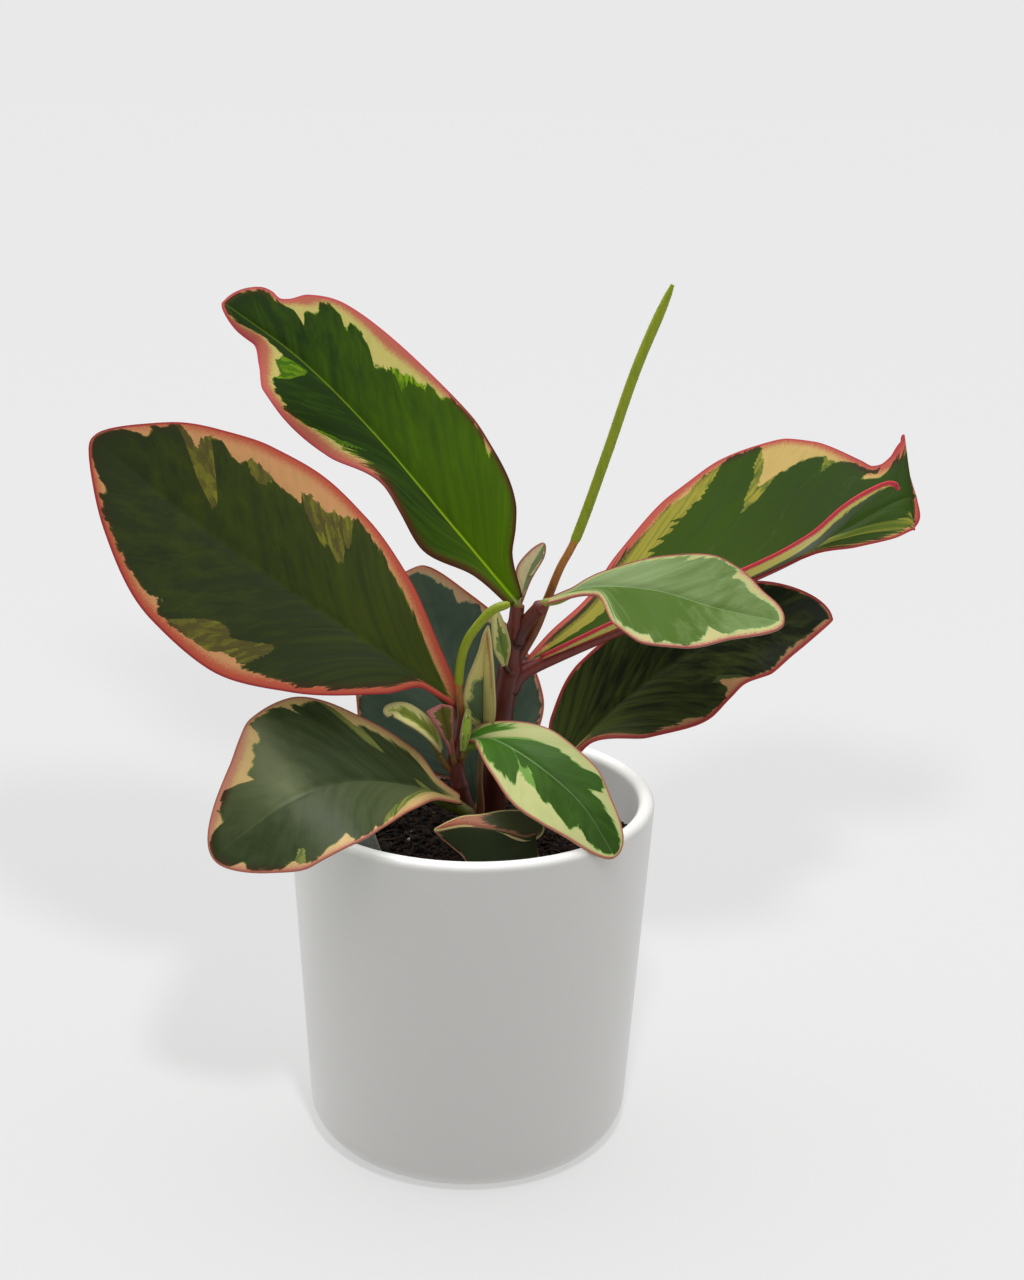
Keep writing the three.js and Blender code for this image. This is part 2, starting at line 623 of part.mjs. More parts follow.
for (const [name, leaf] of Object.entries(LEAVES)) {
  place(name, toGeometry(cutClear(leafSolid(leaf), stemRoom[leaf.on])), leaf.colour, 0.35);
}
for (const [name, spike] of Object.entries(SPIKES)) {
  place(name, toGeometry(cutClear(stemSolid(spike), stemRoom[spike.on])), 'spike', 0.45);
}

export default group;
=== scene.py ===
"""Looks of a potted ginny peperomia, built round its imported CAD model.

The file is laid out as an add-on and run as a script. Tables of points are in millimetres, in the
row's frame: the origin is the middle of the pot's base, +Z is up and -Y is the front. Meshes are made
in metres.
"""

import json
import math

import bmesh
import bpy
import numpy as np
from mathutils import Matrix, Vector, noise

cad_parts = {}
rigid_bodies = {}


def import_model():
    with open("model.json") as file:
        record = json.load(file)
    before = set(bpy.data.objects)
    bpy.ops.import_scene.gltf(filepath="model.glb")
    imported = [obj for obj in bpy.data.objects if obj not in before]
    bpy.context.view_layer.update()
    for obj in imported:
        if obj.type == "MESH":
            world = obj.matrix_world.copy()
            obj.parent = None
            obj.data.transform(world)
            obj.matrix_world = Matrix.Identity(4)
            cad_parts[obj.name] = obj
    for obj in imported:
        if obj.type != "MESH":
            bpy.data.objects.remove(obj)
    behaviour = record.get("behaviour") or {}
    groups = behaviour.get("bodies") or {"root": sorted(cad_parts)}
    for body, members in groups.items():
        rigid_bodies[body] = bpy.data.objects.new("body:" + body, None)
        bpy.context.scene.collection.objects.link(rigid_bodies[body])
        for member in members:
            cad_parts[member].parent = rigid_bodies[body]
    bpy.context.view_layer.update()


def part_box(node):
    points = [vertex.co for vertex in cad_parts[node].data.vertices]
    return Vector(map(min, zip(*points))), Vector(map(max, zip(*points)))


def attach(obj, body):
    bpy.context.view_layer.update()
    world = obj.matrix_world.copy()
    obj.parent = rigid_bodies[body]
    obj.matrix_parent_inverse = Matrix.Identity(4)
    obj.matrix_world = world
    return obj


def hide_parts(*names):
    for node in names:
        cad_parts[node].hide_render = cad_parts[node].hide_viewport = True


bl_info = {
    "name": "Potted ginny peperomia",
    "version": (1, 0, 0),
    "blender": (4, 5, 0),
    "location": "3D View > Sidebar > Peperomia",
    "description": "Builds a variegated houseplant in a white cover pot",
    "category": "Add Mesh",
}

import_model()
POT_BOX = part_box("pot")

MM = 0.001


def hex_colour(text):
    """Linear RGBA of an sRGB hex colour."""
    channels = []
    for start in (1, 3, 5):
        value = int(text[start:start + 2], 16) / 255
        channels.append(value / 12.92 if value <= 0.04045 else ((value + 0.055) / 1.055) ** 2.4)
    return (*channels, 1.0)


# Settings


def length_property(name, description, default):
    return bpy.props.FloatProperty(
        name=name, description=description, default=default, min=0.0, subtype="DISTANCE", unit="LENGTH",
        precision=5,
    )


def number_property(name, description, default):
    return bpy.props.FloatProperty(name=name, description=description, default=default, min=0.0)


def colour_property(name, description, default):
    return bpy.props.FloatVectorProperty(
        name=name, description=description, default=hex_colour(default), size=4, min=0.0, max=1.0,
        subtype="COLOR",
    )


class PotSettings(bpy.types.PropertyGroup):
    height: length_property("Height", "Foot to rim", POT_BOX[1].z)
    rim_radius: length_property("Rim radius", "Outer radius at the rim", POT_BOX[1].x)
    base_radius: length_property("Base radius", "Outer radius the wall would have at the foot", 49 * MM)
    wall: length_property("Wall", "Thickness of the wall and the lip", 4.8 * MM)
    floor: length_property("Floor", "Thickness of the bottom", 6 * MM)
    foot_rounding: length_property("Foot rounding", "Radius of the rounded foot", 10 * MM)
    glaze: colour_property("Glaze", "Colour of the matt glaze", "#d4d3d0")


class SoilSettings(bpy.types.PropertyGroup):
    level: length_property("Level", "Height of the soil in the pot", 93 * MM)
    gap: length_property("Gap", "Free space to the pot's wall", 0.3 * MM)
    crumb: length_property("Crumb", "Radius of the biggest crumb", 1.5 * MM)
    crumbs_per_cm2: number_property("Crumbs", "Crumbs on a square centimetre", 52)
    fibres_per_cm2: number_property("Fibres", "Bark fibres on a square centimetre", 5)
    perlite_per_cm2: number_property("Perlite", "Perlite grains on a square centimetre", 0.6)
    dark: colour_property("Dark", "Damp peat", "#120d0b")
    light: colour_property("Light", "Dry bark", "#4a3426")


class StemSettings(bpy.types.PropertyGroup):
    # bark, at the foot of each stem piece, is darker than young at its top: older skin, and also painted
    # shade low in the plant.
    bark: colour_property("Bark", "Skin of the old stem", "#3d1812")
    young: colour_property("Young bark", "Skin of the young shoots", "#6c2c20")


class LeafSettings(bpy.types.PropertyGroup):
    middle: length_property("Middle", "Thickness beside the midrib", 1.3 * MM)
    margin: length_property("Margin", "Thickness at the margin", 0.7 * MM)
    pillow: length_property("Pillowing", "Rise of the blade between two side veins", 0.1 * MM)
    steps: bpy.props.IntProperty(name="Steps", description="Faces along a big blade", default=130, min=20)
    across: bpy.props.IntProperty(name="Across", description="Points across a big blade", default=61, min=9)


class SpikeSettings(bpy.types.PropertyGroup):
    green: colour_property("Green", "Fleshy spike", "#8b9810")
    stalk: colour_property("Stalk", "Stalk under the spike", "#b5762f")
    floret: length_property("Floret", "Radius of one of the tiny flowers", 0.2 * MM)


class StageSettings(bpy.types.PropertyGroup):
    floor: colour_property("Floor", "Colour of the floor, without its glow", "#a3a3a3")
    glow: number_property("Glow", "Light that the floor gives off, far from the lamp", 0.528)
    backdrop: colour_property("Backdrop", "Plain pale backdrop", "#e9e9e9")


# Curves and stations


def along(stations, t):
    """Smooth values at t through stations [t, value], with no overshoot between them."""
    x = np.array([s[0] for s in stations], float)
    y = np.array([s[1] for s in stations], float)
    t = np.clip(np.asarray(t, float), x[0], x[-1])
    if len(x) == 1:
        return np.full(t.shape, y[0])
    slope = np.diff(y) / np.diff(x)
    tangent = np.concatenate([slope[:1], np.zeros(len(x) - 2), slope[-1:]])
    for i in range(1, len(x) - 1):
        if slope[i - 1] * slope[i] > 0:
            tangent[i] = 2 * slope[i - 1] * slope[i] / (slope[i - 1] + slope[i])
    k = np.clip(np.searchsorted(x, t, side="right") - 1, 0, len(x) - 2)
    span = x[k + 1] - x[k]
    q = (t - x[k]) / span
    return (
        (2 * q**3 - 3 * q**2 + 1) * y[k] + (q**3 - 2 * q**2 + q) * tangent[k] * span
        + (3 * q**2 - 2 * q**3) * y[k + 1] + (q**3 - q**2) * tangent[k + 1] * span
    )


def curve_through(points, t):
    """Points at t on the smooth curve through points, with equal steps from one to the next."""
    p = np.array(points, float)
    last = len(p) - 1
    p = np.vstack([2 * p[0] - p[1], p, 2 * p[-1] - p[-2]])
    s = np.clip(np.asarray(t, float), 0, 1) * last
    k = np.minimum(s.astype(int), last - 1)
    f = (s - k)[..., None]
    a, b, c, d = p[k], p[k + 1], p[k + 2], p[k + 3]
    return 0.5 * (2 * b + (c - a) * f + (2 * a - 5 * b + 4 * c - d) * f**2 + (3 * b - a - 3 * c + d) * f**3)


def unit(vectors):
    return vectors / np.linalg.norm(vectors, axis=-1, keepdims=True)


def dot(a, b):
    return (a * b).sum(axis=-1, keepdims=True)


# Meshes and objects


def add_object(name, data):
    made = bpy.data.objects.new(name, data)
    bpy.context.scene.collection.objects.link(made)
    return made


def make_object(name, vertices, faces, materials, face_material=None):
    """Object at the origin with a smooth-shaded mesh. vertices are in millimetres."""
    mesh = bpy.data.meshes.new(name)
    mesh.from_pydata((np.asarray(vertices, float) * MM).tolist(), [], faces)
    for material in materials:
        mesh.materials.append(material)
    if face_material is not None:
        mesh.polygons.foreach_set("material_index", face_material)
    mesh.polygons.foreach_set("use_smooth", [True] * len(mesh.polygons))
    mesh.update()
    return add_object(name, mesh)


def set_attribute(mesh, name, values, kind="FLOAT"):
    attribute = mesh.attributes.new(name, kind, "POINT")
    key = "vector" if kind == "FLOAT_VECTOR" else "value"
    attribute.data.foreach_set(key, np.ascontiguousarray(values, np.float32).ravel())


def point_outwards(mesh):
    """Turns the faces of a closed mesh outwards."""
    work = bmesh.new()
    work.from_mesh(mesh)
    if work.calc_volume(signed=True) < 0:
        bmesh.ops.reverse_faces(work, faces=work.faces)
    work.to_mesh(mesh)
    work.free()


def stand_in(piece, node):
    """The finished piece rides on the root body and is shown instead of the CAD node, where one is given."""
    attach(piece, "root")
    if node:
        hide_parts(node)
    return piece


def ring_faces(rings, count, start=0):
    """Quads between rings of equal length."""
    faces = []
    for i in range(rings - 1):
        for j in range(count):
            here = start + i * count + j
            beside = start + i * count + (j + 1) % count
            faces.append((here, beside, beside + count, here + count))
    return faces


def tube(points, radius, steps, sides, squeeze=1.0):
    """Rings of a round tube along a curve, closed at both ends: vertices, faces and t of each vertex."""
    t = np.linspace(0, 1, steps + 1)
    centre = curve_through(points, t)
    ahead = curve_through(points, np.minimum(1, t + 0.01))
    behind = curve_through(points, np.maximum(0, t - 0.01))
    tangent = unit(ahead - behind)
    size = along(radius, t)
    side = np.array([0.31, -0.95, 0.07])
    vertices, at = [], []
    for i in range(steps + 1):
        side = unit(side - tangent[i] * side.dot(tangent[i]))
        other = np.cross(tangent[i], side)
        for j in range(sides):
            angle = 2 * math.pi * j / sides
            vertices.append(
                centre[i] + side * size[i] * math.cos(angle) + other * size[i] * squeeze * math.sin(angle)
            )
            at.append(t[i])
    faces = ring_faces(steps + 1, sides)
    first = len(vertices)
    vertices += [centre[0], centre[-1]]
    at += [0, 1]
    end = steps * sides
    for j in range(sides):
        beside = (j + 1) % sides
        faces.append((first, beside, j))
        faces.append((first + 1, end + j, end + beside))
    return np.array(vertices), faces, np.array(at)


# Node trees


def add_node(tree, kind, settings=None, inputs=None):
    """Adds a node with its settings. inputs holds a value for each socket, or another node's output,
    or another node, which stands for its first output."""
    made = tree.nodes.new(kind)
    for key, value in (settings or {}).items():
        setattr(made, key, value)
    for socket, value in (inputs or {}).items():
        if isinstance(value, bpy.types.Node):
            value = value.outputs[0]
        if isinstance(value, bpy.types.NodeSocket):
            tree.links.new(value, made.inputs[socket])
        else:
            made.inputs[socket].default_value = value
    return made


# Sockets go by number where names repeat. A colour mix takes its share at 0 and its colours at 6 and 7,
# and gives its result at 2. A map range takes its value at 0, the old range at 1 and 2 and the new one
# at 3 and 4.

# Node settings that come up again and again
ADD = {"operation": "ADD"}
MULTIPLY = {"operation": "MULTIPLY"}
COLOURS = {"data_type": "RGBA"}
SMOOTH = {"interpolation_type": "SMOOTHSTEP"}
FLAT_NOISE = {"noise_dimensions": "2D"}


def new_material(name):
    material = bpy.data.materials.new(name)
    material.use_nodes = True
    material.node_tree.nodes.clear()
    return material, material.node_tree


def finish_material(tree, shader):
    add_node(tree, "ShaderNodeOutputMaterial", inputs={"Surface": shader})


def run_nodes(base, tree, values, name):
    """Plain mesh object made from base by a geometry node tree. base itself is removed."""
    modifier = base.modifiers.new(tree.name, "NODES")
    modifier.node_group = tree
    for item in tree.interface.items_tree:
        if item.item_type == "SOCKET" and item.in_out == "INPUT" and item.name in values:
            modifier[item.identifier] = values[item.name]
    graph = bpy.context.evaluated_depsgraph_get()
    mesh = bpy.data.meshes.new_from_object(base.evaluated_get(graph))
    if len(mesh.polygons) == 0:
        raise RuntimeError(f"{tree.name} made nothing for {name}")
    mesh.name = name
    base.modifiers.remove(modifier)
    bpy.data.objects.remove(base)
    return add_object(name, mesh)


def new_geometry_tree(name, sockets):
    """Geometry node tree with a geometry in and out and the named inputs, and the node that holds them."""
    tree = bpy.data.node_groups.new(name, "GeometryNodeTree")
    tree.interface.new_socket("Geometry", in_out="INPUT", socket_type="NodeSocketGeometry")
    tree.interface.new_socket("Geometry", in_out="OUTPUT", socket_type="NodeSocketGeometry")
    for label, kind in sockets:
        tree.interface.new_socket(label, in_out="INPUT", socket_type=kind)
    return tree, add_node(tree, "NodeGroupInput")


def end_geometry_tree(tree, geometry, given):
    real = add_node(tree, "GeometryNodeRealizeInstances", inputs={"Geometry": geometry})
    smooth = add_node(tree, "GeometryNodeSetShadeSmooth", inputs={"Geometry": real})
    painted = add_node(
        tree, "GeometryNodeSetMaterial", inputs={"Geometry": smooth, "Material": given.outputs["Material"]},
    )
    add_node(tree, "NodeGroupOutput", inputs={"Geometry": painted})
    return tree


def turned_tree():
    """Turns a profile, drawn as a line in the XZ plane, round the Z axis."""
    tree, given = new_geometry_tree(
        "Turned shell",
        [("Sides", "NodeSocketInt"), ("Rows", "NodeSocketInt"), ("Material", "NodeSocketMaterial")],
    )
    profile = add_node(tree, "GeometryNodeMeshToCurve", inputs={"Mesh": given.outputs["Geometry"]})
    grid = add_node(
        tree, "GeometryNodeMeshGrid",
        inputs={"Size X": 1.0, "Size Y": 1.0, "Vertices X": given.outputs["Sides"],
                "Vertices Y": given.outputs["Rows"]},
    )
    place = add_node(tree, "GeometryNodeInputPosition")
    axes = add_node(tree, "ShaderNodeSeparateXYZ", inputs={0: place})
    angle = add_node(tree, "ShaderNodeMath", MULTIPLY, {0: axes, 1: 2 * math.pi})
    share = add_node(tree, "ShaderNodeMath", ADD, {0: axes.outputs[1], 1: 0.5})
    sample = add_node(
        tree, "GeometryNodeSampleCurve", {"mode": "FACTOR"}, {"Curves": profile, "Factor": share},
    )
    drawn = add_node(tree, "ShaderNodeSeparateXYZ", inputs={0: sample.outputs["Position"]})
    cosine = add_node(tree, "ShaderNodeMath", {"operation": "COSINE"}, {0: angle})
    sine = add_node(tree, "ShaderNodeMath", {"operation": "SINE"}, {0: angle})
    x = add_node(tree, "ShaderNodeMath", MULTIPLY, {0: cosine, 1: drawn})
    y = add_node(tree, "ShaderNodeMath", MULTIPLY, {0: sine, 1: drawn})
    point = add_node(tree, "ShaderNodeCombineXYZ", inputs={0: x, 1: y, 2: drawn.outputs[2]})
    moved = add_node(tree, "GeometryNodeSetPosition", inputs={"Geometry": grid, "Position": point})
    merged = add_node(tree, "GeometryNodeMergeByDistance", inputs={"Geometry": moved, "Distance": 0.00002})
    return end_geometry_tree(tree, merged, given)


def tube_tree():
    """A round tube along a line, as thick as the line's own attribute girth says."""
    tree, given = new_geometry_tree(
        "Tube along a path", [("Sides", "NodeSocketInt"), ("Material", "NodeSocketMaterial")],
    )
    path = add_node(tree, "GeometryNodeMeshToCurve", inputs={"Mesh": given.outputs["Geometry"]})
    girth = add_node(tree, "GeometryNodeInputNamedAttribute", {"data_type": "FLOAT"}, {"Name": "girth"})
    section = add_node(
        tree, "GeometryNodeCurvePrimitiveCircle",
        inputs={"Resolution": given.outputs["Sides"], "Radius": 1.0},
    )
    skin = add_node(
        tree, "GeometryNodeCurveToMesh",
        inputs={"Curve": path, "Profile Curve": section, "Scale": girth.outputs["Attribute"],
                "Fill Caps": True},
    )
    return end_geometry_tree(tree, skin, given)


def scatter_tree():
    """Sets copies of a small shape on the upward faces of a surface, turned and sized at random."""
    tree, given = new_geometry_tree(
        "Grains on a surface",
        [("Shape", "NodeSocketObject"), ("Per square metre", "NodeSocketFloat"),
         ("Smallest", "NodeSocketFloat"), ("Largest", "NodeSocketFloat"), ("Tilt", "NodeSocketFloat"),
         ("Steepest", "NodeSocketFloat"), ("Seed", "NodeSocketInt"), ("Material", "NodeSocketMaterial")],
    )
    normal = add_node(tree, "GeometryNodeInputNormal")
    axes = add_node(tree, "ShaderNodeSeparateXYZ", inputs={0: normal})
    upward = add_node(
        tree, "ShaderNodeMath", {"operation": "GREATER_THAN"},
        {0: axes.outputs[2], 1: given.outputs["Steepest"]},
    )
    points = add_node(
        tree, "GeometryNodeDistributePointsOnFaces", {"distribute_method": "RANDOM"},
        {"Mesh": given.outputs["Geometry"], "Selection": upward, "Density": given.outputs["Per square metre"],
         "Seed": given.outputs["Seed"]},
    )
    shape = add_node(tree, "GeometryNodeObjectInfo", inputs={"Object": given.outputs["Shape"]})
    size = add_node(
        tree, "FunctionNodeRandomValue", {"data_type": "FLOAT"},
        {2: given.outputs["Smallest"], 3: given.outputs["Largest"], "Seed": given.outputs["Seed"]},
    )
    back = add_node(tree, "ShaderNodeMath", MULTIPLY, {0: given.outputs["Tilt"], 1: -1.0})
    lowest = add_node(tree, "ShaderNodeCombineXYZ", inputs={0: back, 1: back, 2: -math.pi})
    highest = add_node(
        tree, "ShaderNodeCombineXYZ", inputs={0: given.outputs["Tilt"], 1: given.outputs["Tilt"], 2: math.pi},
    )
    turn = add_node(
        tree, "FunctionNodeRandomValue", {"data_type": "FLOAT_VECTOR"},
        {0: lowest, 1: highest, "Seed": given.outputs["Seed"]},
    )
    spin = add_node(
        tree, "FunctionNodeRotateRotation", {"rotation_space": "LOCAL"},
        {0: points.outputs["Rotation"], 1: turn},
    )
    copies = add_node(
        tree, "GeometryNodeInstanceOnPoints",
        inputs={"Points": points.outputs["Points"], "Instance": shape.outputs["Geometry"], "Rotation": spin,
                "Scale": size.outputs[1]},
    )
    return end_geometry_tree(tree, copies, given)


# Materials


def glaze_material(settings):
    """Matt tin-white glaze on cast stoneware: an even, faintly warm white with a soft, broad sheen.
    The glaze is a little uneven, in waves some 6 mm long and a skin some 0.4 mm fine."""
    material, tree = new_material("matt_glazed_stoneware")
    where = add_node(tree, "ShaderNodeTexCoord")
    waves = add_node(
        tree, "ShaderNodeTexNoise", inputs={"Vector": where.outputs["Object"], "Scale": 160.0, "Detail": 2.0},
    )
    grain = add_node(
        tree, "ShaderNodeTexNoise",
        inputs={"Vector": where.outputs["Object"], "Scale": 2500.0, "Detail": 2.0},
    )
    tint = add_node(tree, "ShaderNodeMapRange", inputs={0: waves, 1: 0.3, 2: 0.7, 3: 0.0, 4: 0.12})
    colour = add_node(tree, "ShaderNodeMix", COLOURS, {0: tint, 6: settings.glaze, 7: hex_colour("#cecdc9")})
    height = add_node(tree, "ShaderNodeMath", {"operation": "MULTIPLY_ADD"}, {0: grain, 1: 0.12, 2: waves})
    bump = add_node(tree, "ShaderNodeBump", inputs={"Strength": 0.25, "Distance": 0.00008, "Height": height})
    rough = add_node(tree, "ShaderNodeMapRange", inputs={0: grain, 1: 0.3, 2: 0.7, 3: 0.28, 4: 0.36})
    shader = add_node(
        tree, "ShaderNodeBsdfPrincipled",
        inputs={"Base Color": colour.outputs[2], "Roughness": rough, "IOR": 1.5, "Normal": bump},
    )
    finish_material(tree, shader)
    return material


def grain_material(name, dark, light, per_metre, roughness):
    """Loose matter such as peat, bark or perlite: dull, and mottled from grain to grain."""
    material, tree = new_material(name)
    where = add_node(tree, "ShaderNodeTexCoord")
    patches = add_node(
        tree, "ShaderNodeTexNoise",
        inputs={"Vector": where.outputs["Object"], "Scale": per_metre, "Detail": 5.0, "Roughness": 0.7},
    )
    share = add_node(tree, "ShaderNodeMapRange", SMOOTH, {0: patches, 1: 0.46, 2: 0.74})
    colour = add_node(tree, "ShaderNodeMix", COLOURS, {0: share, 6: dark, 7: light})
    bump = add_node(tree, "ShaderNodeBump", inputs={"Strength": 0.8, "Distance": 0.0003, "Height": patches})
    shader = add_node(
        tree, "ShaderNodeBsdfPrincipled",
        inputs={"Base Color": colour.outputs[2], "Roughness": roughness, "Specular IOR Level": 0.15,
                "Normal": bump},
    )
    finish_material(tree, shader)
    return material


def plastic_material():
    """Polystyrene label, moulded grey and mottled lighter and darker in small patches at random: satin, with
    a fine matt grain.
    """
    material, tree = new_material("grey_polystyrene")
    where = add_node(tree, "ShaderNodeTexCoord")
    grey_mottle = add_node(
        tree, "ShaderNodeTexNoise",
        inputs={"Vector": where.outputs["Object"], "Scale": 700.0, "Detail": 6.0, "Roughness": 0.7},
    )
    share = add_node(tree, "ShaderNodeMapRange", inputs={0: grey_mottle, 1: 0.35, 2: 0.7})
    colour = add_node(
        tree, "ShaderNodeMix", COLOURS, {0: share, 6: hex_colour("#b4b4b2"), 7: hex_colour("#dcdcd8")},
    )
    bump = add_node(tree, "ShaderNodeBump", inputs={"Strength": 0.3, "Distance": 0.00005, "Height": grey_mottle})
    shader = add_node(
        tree, "ShaderNodeBsdfPrincipled",
        inputs={"Base Color": colour.outputs[2], "Roughness": 0.45, "IOR": 1.59, "Normal": bump},
    )
    finish_material(tree, shader)
    return material


def stem_material(name, low, high, streak, roughness):
    """Fleshy plant skin with a thin wax: satin, streaked along its length. Its colour goes from low
    to high along the stem, by the mesh's attribute up, with spots some 0.5 mm across."""
    material, tree = new_material(name)
    where = add_node(tree, "ShaderNodeTexCoord")
    up = add_node(tree, "ShaderNodeAttribute", {"attribute_name": "up"})
    stretched = add_node(
        tree, "ShaderNodeMapping", inputs={"Vector": where.outputs["Object"], "Scale": (1.0, 1.0, 0.18)},
    )
    streaks = add_node(
        tree, "ShaderNodeTexNoise",
        inputs={"Vector": stretched, "Scale": 900.0, "Detail": 4.0, "Roughness": 0.6},
    )
    spots = add_node(
        tree, "ShaderNodeTexNoise",
        inputs={"Vector": where.outputs["Object"], "Scale": 1900.0, "Detail": 2.0},
    )
    rising = add_node(tree, "ShaderNodeMix", COLOURS, {0: up.outputs["Fac"], 6: low, 7: high})
    share = add_node(tree, "ShaderNodeMapRange", inputs={0: streaks, 1: 0.45, 2: 0.75, 3: 0.0, 4: 0.55})
    colour = add_node(tree, "ShaderNodeMix", COLOURS, {0: share, 6: rising.outputs[2], 7: streak})
    height = add_node(tree, "ShaderNodeMath", ADD, {0: streaks, 1: spots})
    bump = add_node(tree, "ShaderNodeBump", inputs={"Strength": 0.35, "Distance": 0.00012, "Height": height})
    shader = add_node(
        tree, "ShaderNodeBsdfPrincipled",
        inputs={"Base Color": colour.outputs[2], "Roughness": roughness, "IOR": 1.42, "Normal": bump},
    )
    finish_material(tree, shader)
    return material


NO_ZONE = ([[0, -9]], [[0, -9]])

# Paint that every blade has where PAINT says nothing else. Widths are in millimetres, and so are fringe
# and the jags, which are how far a zone's border strays. A share is how strongly a colour shows.
BLADE_LOOK = {
    "green": "#2b3a20",
    "light_green": "#3f5c1c",
    "haze": "#6b7436",
    "light_haze": "#6b7436",
    "cream": "#d9ad7e",
    "blush": "#cc5a58",
    "bronze": "#3c2a1c",
    "edge": "#b9444c",
    "midrib": "#4c5f2a",
    "vein": "#55683a",
    "under": "#8d9b76",
    "under_share": 0.55,
    "midrib_width": 0.3,
    "midrib_share": 0.35,
    "vein_share": 0.08,
    "veins": 9,
    "jag": 0.5,
    "haze_jag": 0.8,
    "cell_jag": 0.9,
    "fringe": 0.35,
    "blush_soft": 2.5,
    "edge_width": 0.5,
    "edge_start": -1.0,
    "mottle": 0.25,
    "roughness": 0.38,
    "shine": 0.12,
    "stalk": ("#6d2a22", "#7d6a2c"),
    "cream_zone": NO_ZONE,
    "haze_zone": NO_ZONE,
    "blush_zone": NO_ZONE,
    "glow": [[0, 0.5, 0.5]],
}


def blade_noises(tree):
    """Lobes, cells, clouds and fine grain of a blade's skin."""
    where = add_node(tree, "ShaderNodeTexCoord")
    # The map veins is in centimetres: first the way from vein to vein, then the way in from the margin.
    # Lobes are some 4 mm wide, cells 1.2 by 2.2 mm, and clouds 4 by 9 mm.
    veins = add_node(tree, "ShaderNodeUVMap", {"uv_map": "veins"})
    lobe_place = add_node(tree, "ShaderNodeMapping", inputs={"Vector": veins, "Scale": (2.6, 0.9, 1.0)})
    lobe_noise = add_node(
        tree, "ShaderNodeTexNoise", FLAT_NOISE,
        {"Vector": lobe_place, "Scale": 1.0, "Detail": 2.0, "Roughness": 0.5},
    )
    shake = add_node(tree, "ShaderNodeTexNoise", FLAT_NOISE, {"Vector": veins, "Scale": 14.0, "Detail": 2.0})
    shaken = add_node(
        tree, "ShaderNodeVectorMath", {"operation": "MULTIPLY_ADD"},
        {0: shake.outputs["Color"], 1: (0.13, 0.13, 0.0), 2: veins},
    )
    cell_place = add_node(tree, "ShaderNodeMapping", inputs={"Vector": shaken, "Scale": (8.5, 4.5, 1.0)})
    cells = add_node(
        tree, "ShaderNodeTexVoronoi", {"voronoi_dimensions": "2D"}, {"Vector": cell_place, "Scale": 1.0},
    )
    cell = add_node(tree, "ShaderNodeSeparateXYZ", inputs={0: cells.outputs["Color"]})
    cloud_place = add_node(
        tree, "ShaderNodeMapping",
        inputs={"Vector": veins, "Location": (1.7, 4.4, 0.0), "Scale": (2.4, 1.1, 1.0)},
    )
    clouds = add_node(
        tree, "ShaderNodeTexNoise", FLAT_NOISE,
        {"Vector": cloud_place, "Scale": 1.0, "Detail": 6.0, "Roughness": 0.62},
    )
    grain = add_node(
        tree, "ShaderNodeTexNoise",
        inputs={"Vector": where.outputs["Object"], "Scale": 2600.0, "Detail": 3.0, "Roughness": 0.6},
    )
    return lobe_noise, cell, clouds, grain


def ragged_zones(tree, paint, depth, lobe_noise, cell):
    """Shares of cream and of half green. Their borders stray by lobes and by single cells."""
    lobe = add_node(
        tree, "ShaderNodeMapRange",
        inputs={0: lobe_noise, 1: 0.25, 2: 0.75, 3: -paint["jag"], 4: paint["jag"]},
    )
    patch = add_node(
        tree, "ShaderNodeMapRange",
        inputs={0: lobe_noise, 1: 0.25, 2: 0.75, 3: -paint["haze_jag"], 4: paint["haze_jag"]},
    )
    cell_step = add_node(
        tree, "ShaderNodeMapRange", inputs={0: cell, 3: -0.5 * paint["cell_jag"], 4: 0.5 * paint["cell_jag"]},
    )
    cream_ragged = add_node(tree, "ShaderNodeMath", ADD, {0: depth, 1: lobe})
    cream_depth = add_node(tree, "ShaderNodeMath", ADD, {0: cream_ragged, 1: cell_step})
    cream_share = add_node(tree, "ShaderNodeMapRange", SMOOTH, {0: cream_depth, 1: -0.16, 2: 0.16})
    haze_ragged = add_node(tree, "ShaderNodeMath", ADD, {0: depth.outputs[1], 1: patch})
    haze_depth = add_node(tree, "ShaderNodeMath", ADD, {0: haze_ragged, 1: cell_step})
    fringe = add_node(tree, "ShaderNodeMath", ADD, {0: cream_depth, 1: paint["fringe"]})
    widest = add_node(tree, "ShaderNodeMath", {"operation": "MAXIMUM"}, {0: haze_depth, 1: fringe})
    haze_share = add_node(tree, "ShaderNodeMapRange", SMOOTH, {0: widest, 1: -0.22, 2: 0.22})
    return cream_share, haze_share


